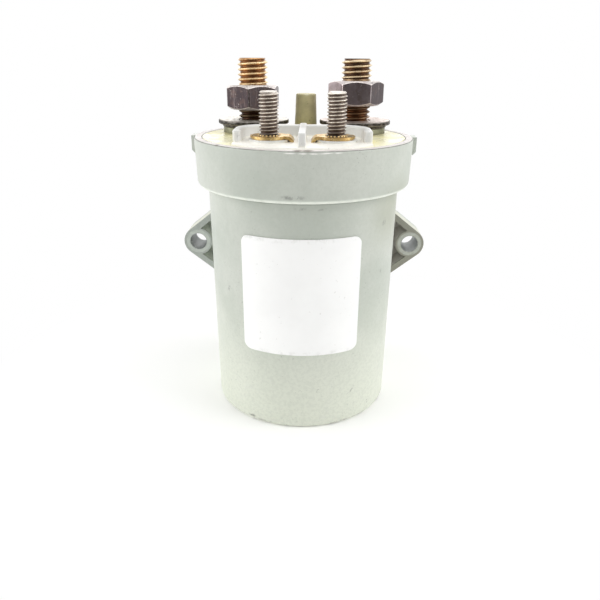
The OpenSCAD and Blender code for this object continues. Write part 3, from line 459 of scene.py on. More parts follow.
def make_cap_plastic():
    f = Finish("olive_cap_plastic", roughness=0.55)
    cloud = f.spots(3.2, 4.0, 0.6, 0.34, 0.68)
    f.start((214, 206, 162), (196, 189, 146), cloud)
    specks = f.spots(0.6, 2.0, 0.5, 0.66, 0.73)
    f.lay((132, 124, 94), specks, 0.55)
    nick = f.times(f.reach((0.55, 9.5, 84.3), (0.9, 1.0, 0.7)), f.spots(0.8, 3.0, 0.6, 0.35, 0.6))
    f.lay((222, 220, 200), nick, 0.9)
    return f.done(f.spots(1.5, 3.0, 0.6, 0.3, 0.7, 0.46, 0.64), f.grain(0.6, 3.0, 0.55), 0.03, 0.35)


def make_inner_metal(name, bright, dull, roughness):
    f = Finish(name, metallic=1.0, roughness=roughness)
    patch = f.spots(2.5, 4.0, 0.6, 0.35, 0.67)
    f.start(bright, dull, patch)
    return f.done(f.spots(1.2, 3.0, 0.6, 0.3, 0.7, roughness - 0.08, roughness + 0.1),
                  f.grain(0.5, 3.0, 0.6), 0.015, 0.3)


def make_inner_plastic(name, light, dark, roughness):
    f = Finish(name, roughness=roughness)
    cloud = f.spots(4.0, 3.0, 0.55, 0.35, 0.67)
    f.start(light, dark, cloud)
    return f.done(f.spots(1.6, 3.0, 0.6, 0.3, 0.7, roughness - 0.06, roughness + 0.08),
                  f.grain(0.6, 3.0, 0.55), 0.02, 0.3)


def make_winding():
    f = Finish("enamelled_winding_wire", metallic=0.7, roughness=0.34)
    wave = f.add("ShaderNodeTexWave", {"Vector": f.place, "Scale": math.pi * 2 / (20.0 * WIRE_PITCH * MM),
                                       "Distortion": 0.4},
                 "Fac", wave_type="BANDS", bands_direction="Z", wave_profile="SIN")
    f.start((120, 48, 22), (206, 116, 62), wave)
    f.lay((96, 40, 20), f.spots(3.0, 3.0, 0.6, 0.5, 0.7), 0.4)
    return f.done(f.spots(1.5, 3.0, 0.6, 0.3, 0.7, 0.28, 0.42), wave, 0.12, 0.8)


flange_plating = make_flange_plating()
nut_plating = make_nut_plating()
coil_thread_steel = make_coil_thread_steel()
strap_brass = make_strap_brass()
thread_coppers = (
    make_thread_copper("bright_thread_copper", (246, 222, 176), (200, 160, 114), (124, 86, 56), (48, 30, 22), 80.7),
    make_thread_copper("bronzed_thread_copper", (232, 214, 178), (160, 134, 104), (82, 60, 48), (104, 68, 40), 81.9))
washer_platings = (
    make_washer_plating("grey_washer_plating", (222, 218, 210), (176, 171, 163), (138, 128, 116), (32, 29, 25)),
    make_washer_plating("brownish_washer_plating", (212, 200, 193), (162, 148, 140), (146, 122, 108), (38, 33, 28)))
plain_copper = make_inner_metal("plain_copper", (206, 138, 100), (168, 98, 66), 0.34)
spring_steel = make_inner_metal("spring_wire", (186, 188, 192), (146, 148, 152), 0.3)
magnet_iron = make_inner_metal("plated_magnet_iron", (160, 162, 166), (126, 128, 132), 0.4)
sleeve_steel = make_inner_metal("drawn_sleeve_steel", (204, 206, 210), (176, 178, 182), 0.28)
insulator_cream = make_inner_plastic("insulator_cream", (222, 216, 196), (204, 197, 174), 0.5)
lead_red = make_inner_plastic("lead_insulation_red", (168, 52, 38), (138, 38, 28), 0.5)

NODE_FINISH = {
    "housing": make_moulding(), "label": make_label_film(), "potting": make_epoxy(),
    "coil_terminal_platform": make_platform_plastic(), "fill_tube_cap": make_cap_plastic(),
    "bobbin": make_inner_plastic("bobbin_black", (52, 52, 55), (38, 38, 41), 0.45), "coil_winding": make_winding(),
}
NODES_OF_FINISH = [
    (plain_copper, "fill_tube contact_bridge"), (insulator_cream, "header_plate contact_chamber"),
    (spring_steel, "contact_spring return_spring spring_seat retaining_clip"),
    (sleeve_steel, "actuator_shaft guide_sleeve"), (magnet_iron, "plunger core pole_plate yoke_cup"),
]
for finish, nodes in NODES_OF_FINISH:
    NODE_FINISH.update({node: finish for node in nodes.split()})
SIDE_FINISH = {
    "power_stud": thread_coppers, "lower_washer": washer_platings, "flat_washer": washer_platings,
    "power_nut": [nut_plating] * 2, "coil_strap": [strap_brass] * 2, "coil_stud": [coil_thread_steel] * 2,
    "fixed_contact": [plain_copper] * 2, "coil_lead": [lead_red] * 2,
}
for kind, (left, right) in SIDE_FINISH.items():
    NODE_FINISH.update({kind + "_left": left, kind + "_right": right})
for node_name, finish in NODE_FINISH.items():
    mesh = frame["nodes"][node_name].data
    mesh.materials.clear()
    mesh.materials.append(finish)


# Mesh tools, in millimetres

def arc(x, y, r, start, span, steps):
    """Points along an arc, with both its ends."""
    angles = [start + span * i / steps for i in range(steps + 1)]
    return [(x + r * math.cos(a), y + r * math.sin(a)) for a in angles]


def quads(low, high, closed=True):
    """Faces between two rows of points, given by their numbers."""
    low, high = ([*row, row[0]] if closed else row for row in (low, high))
    return [[low[i], low[i + 1], high[i + 1], high[i]] for i in range(len(low) - 1)]


def grid(rows, length, closed=True, around=False):
    """Faces of points in rows of one length. Rows can be closed, and the last can join the first."""
    numbers = [range(k * length, (k + 1) * length) for k in range(rows)]
    after = numbers[1:] + (numbers[:1] if around else [])
    return [face for low, high in zip(numbers, after) for face in quads(low, high, closed)]


def eased(points, radius, steps=4):
    """An open run of points in a plane with each inner corner rounded."""
    run = [Vector(p) for p in points]
    out = [run[0]]
    for before, corner, after in zip(run, run[1:], run[2:]):
        back, on = before - corner, after - corner
        if back.length < 1e-6 or on.length < 1e-6:
            out.append(corner)
            continue
        angle = back.angle(on)
        cut = min(radius / max(math.tan(angle / 2), 1e-3), 0.45 * back.length, 0.45 * on.length)
        start, end = corner + back.normalized() * cut, corner + on.normalized() * cut
        for i in range(steps + 1):
            t = i / steps
            out.append(start * (1 - t) ** 2 + corner * 2 * t * (1 - t) + end * t ** 2)
    out.append(run[-1])
    return [tuple(p) for p in out]


def lathe(profile, centre=(0.0, 0.0), steps=96, closed=False):
    """A profile of (radius, height) turned around an upright axis."""
    verts, rows = [], []
    for r, z in profile:
        if r < 1e-6:
            rows.append([len(verts)] * steps)
            verts.append((centre[0], centre[1], z))
        else:
            rows.append(list(range(len(verts), len(verts) + steps)))
            verts += [(centre[0] + r * math.cos(a), centre[1] + r * math.sin(a), z)
                      for a in (2 * math.pi * i / steps for i in range(steps))]
    pairs = list(zip(rows, rows[1:])) + ([(rows[-1], rows[0])] if closed else [])
    faces = [list(dict.fromkeys(face)) for low, high in pairs for face in quads(low, high)]
    return verts, [face for face in faces if len(face) > 2]


def skin(loops, cap_last=True):
    """Closed loops of equal length joined in a row, with flat ends."""
    count = len(loops[0])
    verts = [p for loop in loops for p in loop]
    faces = grid(len(loops), count) + [list(range(count))[::-1]]
    if cap_last:
        faces.append([(len(loops) - 1) * count + i for i in range(count)])
    return verts, faces


def bmesh_of(verts, faces):
    bm = bmesh.new()
    rows = [bm.verts.new(Vector(v) * MM) for v in verts]
    for face in faces:
        bm.faces.new([rows[i] for i in face])
    bmesh.ops.remove_doubles(bm, verts=bm.verts, dist=1e-7)
    bmesh.ops.recalc_face_normals(bm, faces=bm.faces)
    return bm


def finished_piece(name, bm, node, crease, body="contactor", weights=None, pick=None, also=()):
    """Turns a bmesh into a piece that stands for a node, in its finish. It rides on one body when body is a name,
    and otherwise stays where it is, its transform baked in. weights names a value for each point, and pick gives the
    number of a face's finish, 0 for the node's and more for those in also."""
    mesh = bpy.data.meshes.new(name)
    bm.to_mesh(mesh)
    bm.free()
    for finish in (NODE_FINISH[node], *also):
        mesh.materials.append(finish)
    mesh.polygons.foreach_set("use_smooth", [True] * len(mesh.polygons))
    mesh.set_sharp_from_angle(angle=math.radians(crease))
    for label, rule in (weights or {}).items():
        values = mesh.attributes.new(label, "FLOAT", "POINT")
        values.data.foreach_set("value", [rule(v.co / MM) for v in mesh.vertices])
    if pick:
        for face in mesh.polygons:
            face.material_index = pick(face.center / MM)
    piece = bpy.data.objects.new(name, mesh)
    bpy.context.scene.collection.objects.link(piece)
    if isinstance(body, str):
        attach(piece, body)
    else:
        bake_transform(piece)
    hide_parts(node)


# Geometry node trees for what repeats

def tree_with(name, inputs):
    tree = bpy.data.node_groups.new(name, "GeometryNodeTree")
    tree.interface.new_socket("Geometry", in_out="INPUT", socket_type="NodeSocketGeometry")
    for label, kind in inputs:
        tree.interface.new_socket(label, in_out="INPUT", socket_type=kind)
    tree.interface.new_socket("Geometry", in_out="OUTPUT", socket_type="NodeSocketGeometry")
    return tree, tree.nodes.new("NodeGroupInput"), tree.nodes.new("NodeGroupOutput")


def end_tree(tree, instances, start, end):
    """Closes a tree: instances made real, welded and given their finish."""
    real = wired(tree, "GeometryNodeRealizeInstances", {0: instances})
    weld = wired(tree, "GeometryNodeMergeByDistance", {"Geometry": real, "Distance": 2e-6})
    paint = wired(tree, "GeometryNodeSetMaterial", {"Geometry": weld, "Material": start.outputs["Finish"]})
    tree.links.new(paint, end.inputs[0])


def make_turns_tree():
    """Stacks one turn of a thread along Z."""
    tree, start, end = tree_with("stacked_thread_turns", [
        ("Turns", "NodeSocketInt"), ("Pitch", "NodeSocketFloat"), ("Finish", "NodeSocketMaterial")])
    given = start.outputs
    rise = wired(tree, "ShaderNodeCombineXYZ", {"Z": given["Pitch"]})
    line = wired(tree, "GeometryNodeMeshLine", {"Count": given["Turns"], "Offset": rise})
    place = wired(tree, "GeometryNodeInstanceOnPoints", {"Points": line, "Instance": given["Geometry"]})
    end_tree(tree, place, start, end)
    return tree


def make_teeth_tree():
    """Repeats one tooth around Z."""
    tree, start, end = tree_with("teeth_around_collar", [
        ("Teeth", "NodeSocketInt"), ("Finish", "NodeSocketMaterial")])
    given = start.outputs
    line = wired(tree, "GeometryNodeMeshLine", {"Count": given["Teeth"], "Offset": (0, 0, 0)})
    index = wired(tree, "GeometryNodeInputIndex", {})
    step = wired(tree, "ShaderNodeMath", {0: 2 * math.pi, 1: given["Teeth"]}, operation="DIVIDE")
    turn = wired(tree, "ShaderNodeMath", {0: step, 1: index}, operation="MULTIPLY")
    spin = wired(tree, "ShaderNodeCombineXYZ", {"Z": turn})
    place = wired(tree, "GeometryNodeInstanceOnPoints",
                  {"Points": line, "Instance": given["Geometry"], "Rotation": spin})
    end_tree(tree, place, start, end)
    return tree


turns_tree = make_turns_tree()
teeth_tree = make_teeth_tree()


def grown(tree, verts, faces, values):
    """A bmesh of what a tree makes from one repeat."""
    seed_mesh = bpy.data.meshes.new("one_repeat")
    seed_mesh.from_pydata([Vector(v) * MM for v in verts], [], faces)
    seed = bpy.data.objects.new("one_repeat", seed_mesh)
    bpy.context.scene.collection.objects.link(seed)
    modifier = seed.modifiers.new("repeat", "NODES")
    modifier.node_group = tree
    for item in tree.interface.items_tree:
        if item.item_type == "SOCKET" and item.in_out == "INPUT" and item.name in values:
            modifier[item.identifier] = values[item.name]
    bpy.context.view_layer.update()
    whole = seed.evaluated_get(bpy.context.evaluated_depsgraph_get())
    mesh = bpy.data.meshes.new_from_object(whole)
    bpy.data.objects.remove(seed)
    bpy.data.meshes.remove(seed_mesh)
    bm = bmesh.new()
    bm.from_mesh(mesh)
    bpy.data.meshes.remove(mesh)
    return bm


def close_ends(bm):
    """Fills the open ends and turns the faces outward."""
    bmesh.ops.holes_fill(bm, edges=[e for e in bm.edges if e.is_boundary], sides=0)
    bmesh.ops.recalc_face_normals(bm, faces=bm.faces)
    for face in bm.faces:
        face.material_index = 0


def shift(bm, x, y, z):
    bmesh.ops.translate(bm, verts=bm.verts, vec=(x * MM, y * MM, z * MM))


def absorb(bm, extra):
    """Adds the shells of another bmesh, which is then freed."""
    mesh = bpy.data.meshes.new("shell")
    extra.to_mesh(mesh)
    extra.free()
    bm.from_mesh(mesh)
    bpy.data.meshes.remove(mesh)


def share(value, low, high):
    """How far a value is on its way from low to high, 0 to 1."""
    return max(0.0, min(1.0, (value - low) / (high - low)))


def gap_from(p, centre):
    return math.hypot(p.x - centre[0], p.y - centre[1])


def threaded_rod(centre, major, depth, pitch, bottom, top, finish, chamfer=0.0, sides=56, turn=0.0):
    """A rod with a real helical thread from bottom to top, turned by some degrees, closed at both ends."""
    minor = major - depth
    rise = [(0.0, 0.0), (0.02, 0.07), (0.14, 0.14), (0.5, 0.27), (0.88, 0.395), (0.98, 0.445)]
    section = [(minor + part * depth, z) for part, z in rise] + [(major, 0.5)]
    section += [(minor + part * depth, 1 - z) for part, z in reversed(rise)]
    verts = []
    for j in range(sides + 1):
        a = 2 * math.pi * j / sides
        verts += [(r * math.cos(a), r * math.sin(a), (z + j / sides) * pitch) for r, z in section]
    faces = grid(sides + 1, len(section), closed=False)
    turns = int(math.ceil((top - bottom) / pitch)) + 3
    bm = grown(turns_tree, verts, faces, {"Turns": turns, "Pitch": pitch * MM, "Finish": finish})
    shift(bm, 0, 0, bottom - 2 * pitch)
    bmesh.ops.rotate(bm, verts=bm.verts, cent=(0, 0, 0), matrix=Matrix.Rotation(math.radians(turn), 3, "Z"))
    for height, keep_above in ((bottom, True), (top, False)):
        bmesh.ops.bisect_plane(bm, geom=bm.verts[:] + bm.edges[:] + bm.faces[:], dist=1e-8,
                               plane_co=(0, 0, height * MM), plane_no=(0, 0, 1),
                               clear_inner=keep_above, clear_outer=not keep_above)
    for v in bm.verts:
        r = math.hypot(v.co.x, v.co.y)
        limit = (major - max(0.0, chamfer - (top - v.co.z / MM))) * MM
        if r > limit:
            v.co.x *= limit / r
            v.co.y *= limit / r
    close_ends(bm)
    shift(bm, centre[0], centre[1], 0)
    return bm


# Power studs: a thread below and above each nut, a plain neck in it and a flange at the foot

def make_power_stud(side, sign):
    nut_z = NUTS[side][0]
    upper_turn, lower_turn = {"left": (58, -75), "right": (-153, 75)}[side]
    centre = (sign * POWER_STUD_X, POWER_STUD_Y)
    node = "power_stud_" + side
    finish = NODE_FINISH[node]
    thread = (centre, POWER_THREAD_R, POWER_THREAD_DEPTH, POWER_THREAD_PITCH)
    nut_low, nut_high = nut_z - THREAD_GAP, nut_z + NUT_H + THREAD_GAP
    bm = threaded_rod(*thread, nut_high, POWER_STUD_TOP, finish, chamfer=0.667, turn=upper_turn)
    absorb(bm, threaded_rod(*thread, STUD_FLANGE_TOP - 0.2, nut_low, finish, turn=lower_turn))
    low, high = nut_z - NECK_LAP, nut_z + NUT_H + NECK_LAP
    absorb(bm, bmesh_of(*lathe([(0, low), (NECK_R, low), (NECK_R, high), (0, high)], centre, 48)))
    r = STUD_FLANGE_R
    flange = eased([(0, HEADER_Z), (r, HEADER_Z), (r, STUD_FLANGE_TOP), (0, STUD_FLANGE_TOP)], 0.35)
    absorb(bm, bmesh_of(*lathe(flange, centre, 96)))

    def crest(p):
        return share(gap_from(p, centre), POWER_THREAD_R - POWER_THREAD_DEPTH, POWER_THREAD_R)

    def on_flange(p):
        return 1 if p.z < STUD_FLANGE_TOP + 0.001 and gap_from(p, centre) > POWER_THREAD_R + 0.1 else 0

    finished_piece(node + "_threaded", bm, node, 50, weights={"crest": crest}, pick=on_flange,
                   also=[flange_plating])


# Nuts: six flats, both ends turned to a cone, a countersunk bore

def make_nut(side, sign):
    foot, turn = NUTS[side]
    centre = (sign * POWER_STUD_X, POWER_STUD_Y)
    steps, sharp, sink = 240, 70.0, 0.4
    cone_r, face_r = NUT_AF / math.sqrt(3) + 0.2, NUT_AF / 2 - 0.4
    cone_h = (cone_r - face_r) * math.tan(math.radians(32))

    def flats(a):
        total = 0.0
        for k in range(6):
            c = math.cos(a - math.radians(turn + 30 + 60 * k))
            if c > 0:
                total += (c / (NUT_AF / 2)) ** sharp
        return total ** (-1 / sharp)

    def cone(h):
        d = min(h, NUT_H - h)
        return face_r + (cone_r - face_r) * d / cone_h

    def soft_min(a, b, w=0.06):
        low = min(a, b)
        return low - w * math.log(math.exp(-(a - low) / w) + math.exp(-(b - low) / w))

    side_h = [0.0, 0.05, 0.12, 0.2, 0.3, 0.4, 0.5, 0.6, 0.7, 0.8, 0.92, 1.1, 1.5, 2.2]
    side_h += [NUT_H / 2] + [NUT_H - h for h in reversed(side_h)]
    rows = [(NUT_BORE_R, NUT_H / 2), (NUT_BORE_R, sink), (NUT_BORE_R + sink, 0.0), (NUT_FACE_R, 0.0)]
    rows += [(None, h) for h in side_h]
    rows += [(NUT_FACE_R, NUT_H), (NUT_BORE_R + sink, NUT_H), (NUT_BORE_R, NUT_H - sink)]
    verts = []
    for r, h in rows:
        for i in range(steps):
            a = 2 * math.pi * i / steps + math.radians(turn)
            reach = r if r is not None else soft_min(flats(a), cone(h))
            verts.append((centre[0] + reach * math.cos(a), centre[1] + reach * math.sin(a), foot + h))

    def edge_rule(p):
        dx, dy, h = p.x - centre[0], p.y - centre[1], p.z - foot
        reach, a = math.hypot(dx, dy), math.atan2(dy, dx)
        if reach < 5.0:
            return math.exp(-((reach - NUT_BORE_R - sink) / 0.25) ** 2)
        ridge = math.exp(-((flats(a) - cone(h)) / 0.2) ** 2)
        bend = (math.degrees(a) - turn + 30) % 60 - 30
        corner = 0.75 * math.exp(-(math.radians(bend) * reach / 0.25) ** 2)
        rim = math.exp(-(min(h, NUT_H - h) / 0.1) ** 2) * math.exp(-((reach - face_r) / 0.2) ** 2)
        return min(1.0, max(ridge, corner, rim))

    def cone_rule(p):
        dx, dy, h = p.x - centre[0], p.y - centre[1], p.z - foot
        return share(flats(math.atan2(dy, dx)) - cone(h), 0.0, 0.12)

    def flat_light_rule(p):
        a = math.degrees(math.atan2(p.y - centre[1], p.x - centre[0]))
        return FLAT_LIGHT_AND_SHADE[side][int(((a - turn) % 360) // 60)]

    node = "power_nut_" + side
    finished_piece(node + "_chamfered", bmesh_of(verts, grid(len(rows), steps, around=True)), node, 60,
                   side + "_nut", {"edge": edge_rule, "flat": flat_light_rule, "cone": cone_rule})


# Washers, with worn round edges

def make_washer(node, sign, radius, low, high):
    centre = (sign * POWER_STUD_X, POWER_STUD_Y)
    ease = (high - low) * 0.28
    mid, bore = (low + high) / 2, WASHER_BORE_R
    corners = [(bore, mid), (bore, low), (radius, low), (radius, high), (bore, high), (bore, mid)]
    profile = eased(corners, ease)[:-1]
    verts, faces = lathe(profile, centre, 120, closed=True)
    warped = []
    for x, y, z in verts:
        gap = math.hypot(x - centre[0], y - centre[1])
        wave = noise.noise(Vector((x * 0.35, y * 0.35, radius))) * 0.02 * (gap / radius) ** 4
        warped.append((x, y, min(max(z + wave, low), high)))

    def edge_rule(p):
        inward = max(radius - gap_from(p, centre), 0.0)
        return math.exp(-(math.hypot(inward, min(p.z - low, high - p.z)) / (ease * 1.3)) ** 2)

    def rim_rule(p):
        return 1.0 if gap_from(p, centre) > radius - ease * 0.6 else 0.0

    finished_piece(node + "_worn", bmesh_of(warped, faces), node, 45,
                   weights={"edge": edge_rule, "rim": rim_rule})


# Coil studs: a toothed press-in collar and a fine thread

def make_coil_stud(side, sign):
    centre = (sign * COIL_STUD_X, COIL_STUD_Y)
    bm = threaded_rod(centre, COIL_THREAD_R, COIL_THREAD_DEPTH, COIL_THREAD_PITCH, KNURL_TOP - 0.3,
                      COIL_STUD_TOP, coil_thread_steel, chamfer=0.48, sides=44, turn=180 if sign < 0 else 0)
    half = math.pi / KNURL_TEETH
    tooth, rise, inner_r = [], 0.07, 1.4
    angles = (-half, -half * 0.25, half * 0.25, half)
    for z, shrink in ((STRAP_Z - 0.4, 0.0), (KNURL_TOP - rise, 0.0), (KNURL_TOP, rise)):
        for a, r in zip(angles, (KNURL_ROOT_R, KNURL_R, KNURL_R, KNURL_ROOT_R)):
            tooth.append(((r - shrink) * math.cos(a), (r - shrink) * math.sin(a), z))
    tooth += [(inner_r * math.cos(a), inner_r * math.sin(a), KNURL_TOP) for a in angles]
    collar = grown(teeth_tree, tooth, grid(4, len(angles), closed=False),
                   {"Teeth": KNURL_TEETH, "Finish": coil_thread_steel})
    close_ends(collar)
    shift(collar, centre[0], centre[1], 0)
    absorb(bm, collar)
    low, high, head_r = HEADER_Z + 0.05, HEADER_Z + 1.05, 4.2
    head = [(0, low), (head_r, low), (head_r, high), (COIL_THREAD_R, high), (COIL_THREAD_R, STRAP_Z), (0, STRAP_Z)]
    absorb(bm, bmesh_of(*lathe(eased(head, 0.1, 2), centre, 48)))

    def crest(p):
        gap = gap_from(p, centre)
        if p.z < KNURL_TOP + 0.01 and gap > 2.2:
            return share(gap, KNURL_ROOT_R, KNURL_R)
        return share(gap, COIL_THREAD_R - COIL_THREAD_DEPTH, COIL_THREAD_R)

    node = "coil_stud_" + side
    finished_piece(node + "_threaded", bm, node, 50, weights={"crest": crest})


# Coil straps: a stamped brass ring with an arm that slopes off its seat, its leg down through the platform

def make_strap(side, sign):
    half_w, thick, bend_r = 2.6, STRAP_TOP - STRAP_Z, 0.3
    join = math.asin(half_w / STRAP_R)
    start_x = COIL_STUD_X - STRAP_R * math.cos(join)
    round_steps, across = 60, 8
    edge = arc(COIL_STUD_X, COIL_STUD_Y, STRAP_R, math.pi - join, 2 * join - 2 * math.pi, round_steps)
    edge += [(start_x, COIL_STUD_Y - half_w + 2 * half_w * i / across) for i in range(1, across)]
    count = len(edge)
    hole = []
    for x, y in edge:
        out = Vector((x - COIL_STUD_X, y - COIL_STUD_Y)).normalized() * STRAP_HOLE_R
        hole.append((COIL_STUD_X + out.x, COIL_STUD_Y + out.y))
    verts = [(x, y, z) for ring, z in ((edge, STRAP_TOP), (hole, STRAP_TOP), (hole, STRAP_Z), (edge, STRAP_Z))
             for x, y in ring]
    faces = []
    for i in range(count):
        j = (i + 1) % count
        for k in range(4 if i < round_steps else 3):
            m = (k + 1) % 4
            faces.append([k * count + i, k * count + j, m * count + j, m * count + i])
    # Rows of the arm run from the ring over both bends to the foot of the leg
    bends = []
    slope = math.tan(math.radians(22.5)) * bend_r
    for cx, cz, first in ((STRAP_FOLD_X + slope, STRAP_Z - bend_r, 90),
                          (STRAP_LEG_X + bend_r, PLATFORM_FLOOR_Z - slope, 135)):
        for i in range(6):
            a = math.radians(first + 9 * i)
            bends.append([(cx + r * math.cos(a), cz + r * math.sin(a)) for r in (bend_r + thick, bend_r)])
    bends.append([(STRAP_LEG_X - thick, HEADER_Z + 1.0), (STRAP_LEG_X, HEADER_Z + 1.0)])
    root = [round_steps + i for i in range(across)] + [0]
    upper, lower = root, [3 * count + i for i in root]
    for (tx, tz), (bx, bz) in bends:
        start = len(verts)
        for x, z in ((tx, tz), (bx, bz)):
            verts += [(x, COIL_STUD_Y - half_w + 2 * half_w * i / across, z) for i in range(across + 1)]
        top = list(range(start, start + across + 1))
        low = list(range(start + across + 1, start + 2 * across + 2))
        faces += quads(upper, top, False) + quads(lower, low, False)
        faces += [[upper[0], top[0], low[0], lower[0]], [upper[-1], lower[-1], low[-1], top[-1]]]
        upper, lower = top, low
    faces += quads(upper, lower, False)
    bm = bmesh_of([(sign * x, y, z) for x, y, z in verts], faces)

    def stamped_round(e):
        """True on the lower outer edge, which the stamping draws round."""
        normals = [face.normal for face in e.link_faces]
        side_on = [n for n in normals if abs(n.y) < 0.3]
        if max(abs(n.y) for n in normals) > 0.97 and side_on and e.verts[0].co.x * sign < start_x * MM + 1e-7:
            return max(sign * n.x - n.z for n in side_on) > 0.6
        away = Vector((sign * COIL_STUD_X, COIL_STUD_Y)) * MM
        return min(n.z for n in normals) < -0.9 and (e.verts[0].co.xy - away).length > 3.5 * MM

    def corners():
        return [e for e in bm.edges if len(e.link_faces) == 2 and e.calc_face_angle() > math.radians(50)]

    drawn = [e for e in corners() if stamped_round(e)]
    bmesh.ops.bevel(bm, geom=drawn, offset=0.27 * MM, segments=4, affect="EDGES", clamp_overlap=True)
    bmesh.ops.bevel(bm, geom=corners(), offset=0.08 * MM, segments=2, affect="EDGES", clamp_overlap=True)
    node = "coil_strap_" + side
    finished_piece(node + "_folded", bm, node, 40)


# Terminal platform: floor, bent wall with round noses, rib and strap seats

def platform_edge(grow):
    """Outline of the platform, counterclockwise, grown by a margin."""
    half, back, r, front = 16.7 + grow, -1.9 + grow, 8.0 + grow, 25.0 + grow
    reach = math.asin(half / front)
    quarter = math.pi / 2
    run = arc(0, 0, front, -quarter - reach, 2 * reach, 48)
    run += arc(half - r, back - r, r, 0, quarter, 20) + arc(-half + r, back - r, r, quarter, quarter, 20)
    return run


def wall_loop(half_t, z):
    """Outline of the bent wall, with round noses, at half thickness half_t."""
    mid, back, r, nose_y = 15.7, -2.9, 7.0, -15.4
    quarter, rise = math.pi / 2, back - r - nose_y

    def spine(out):
        run = [(mid + out, nose_y + rise * i / 8) for i in range(8)]
        run += arc(mid - r, back - r, r + out, 0, quarter, 20)
        run += [((mid - r) * (1 - i / 6), back + out) for i in range(1, 12)]
        run += arc(-mid + r, back - r, r + out, quarter, quarter, 20)
        return run + [(-mid - out, nose_y + rise * i / 8) for i in range(7, -1, -1)]

    outside, inside = spine(half_t), spine(-half_t)[::-1]
    left_nose, right_nose = (arc(x, nose_y, half_t, math.pi, math.pi, NOSE_STEPS)[1:-1] for x in (-mid, mid))
    return [(x, y, z) for x, y in outside + left_nose + inside + right_nose], len(outside)


def seat_edge(inset):
    """Outline of the seat under a strap: round, cut straight where the strap folds down."""
    radius, flat_x = SEAT_R - inset, STRAP_FOLD_X + 0.05 + inset
    stop = math.acos((COIL_STUD_X - flat_x) / radius)
    return arc(COIL_STUD_X, COIL_STUD_Y, radius, math.pi - stop, 2 * stop - 2 * math.pi, 60)


def make_platform():
    ease = 0.3
    floor_loops = [[(x, y, HEADER_Z) for x, y in platform_edge(0)],
                   [(x, y, PLATFORM_FLOOR_Z - ease) for x, y in platform_edge(0)]]
    for i in range(1, 5):
        a = math.pi / 2 * i / 4
        floor_loops.append([(x, y, PLATFORM_FLOOR_Z - ease + ease * math.sin(a)) for x, y in
                            platform_edge(-ease + ease * math.cos(a))])
    floor = skin(floor_loops)
    ease, foot = 0.5, PLATFORM_FLOOR_Z - 0.6
    loops = [wall_loop(WALL_HALF, z)[0] for z in (foot, PLATFORM_WALL_Z - ease)]
    for i in range(1, 6):
        a = math.pi / 2 * i / 5
        drawn_in, drop = ease * (1 - math.cos(a)), ease * (1 - math.sin(a))
        loops.append(wall_loop(WALL_HALF - drawn_in, PLATFORM_WALL_Z - drop)[0])
    count = wall_loop(WALL_HALF, 0.0)[1]
    wall_verts, wall_faces = skin(loops, cap_last=False)
    base = (len(loops) - 1) * len(loops[0])
    total = len(loops[0])
    far = count + NOSE_STEPS - 1
    for i in range(count - 1):
        wall_faces.append([base + i, base + i + 1, base + far + count - 2 - i, base + far + count - 1 - i])
    wall_faces.append([base + i for i in range(count - 1, far + 1)])
    wall_faces.append([base + i for i in range(far + count - 1, total)] + [base])
    half, front, back = 0.85, -24.2, -2.6
    rib = skin([[(-half, front, z), (half, front, z), (half, back, z), (-half, back, z)] for z in (foot, RIB_Z)])
    seats = []
    for sign in (-1, 1):
        rows = [(0.0, PLATFORM_FLOOR_Z - 0.5), (0.0, STRAP_Z - 0.14), (0.04, STRAP_Z - 0.04), (0.14, STRAP_Z)]
        seats.append(skin([[(sign * x, y, z) for x, y in seat_edge(inset)] for inset, z in rows]))
    bm = bmesh_of(*rib)
    bmesh.ops.bevel(bm, geom=bm.edges[:], offset=0.32 * MM, segments=3, affect="EDGES", profile=0.5)
    for shell in (floor, (wall_verts, wall_faces), *seats):
        absorb(bm, bmesh_of(*shell))
    finished_piece("terminal_platform_moulded", bm, "coil_terminal_platform", 40)


# Potting: cast surface, a little uneven, drawn up where it wets the rim and the flanges

def make_potting():
    rows, steps = [0.0] + [POTTING_R * (i / 40) ** 0.8 for i in range(1, 41)], 180
    verts, faces = lathe([(r, POTTING_Z) for r in rows] + [(POTTING_R, HEADER_Z), (0.0, HEADER_Z)], steps=steps)
    rim_lift, flange_lift, cap_lift, uneven = 0.16, 0.22, 0.2, 0.035
    shaped = []
    for x, y, z in verts:
        if z > POTTING_Z - 0.01:
            r = math.hypot(x, y)
            z += uneven * noise.noise(Vector((x * 0.30, y * 0.30, 2.0))) - 0.03
            z += rim_lift * math.exp(-(POTTING_R - r) / 0.5)
            for sign in (-1, 1):
                gap = math.hypot(x - sign * POWER_STUD_X, y - POWER_STUD_Y) - STUD_FLANGE_R
                z += flange_lift * math.exp(-max(gap, 0.0) / 0.55)
            z += cap_lift * math.exp(-max(math.hypot(x - CAP_X, y - CAP_Y) - CAP_FOOT_R, 0.0) / 0.5)
            z = min(z, RIM_Z - 0.02 if r > 25.5 else RIM_Z + 0.2)
        shaped.append((x, y, z))
    finished_piece("potting_cast", bmesh_of(shaped, faces), "potting", 50)


# Fill tube cap: tapered, with a soft top edge that is nicked in front

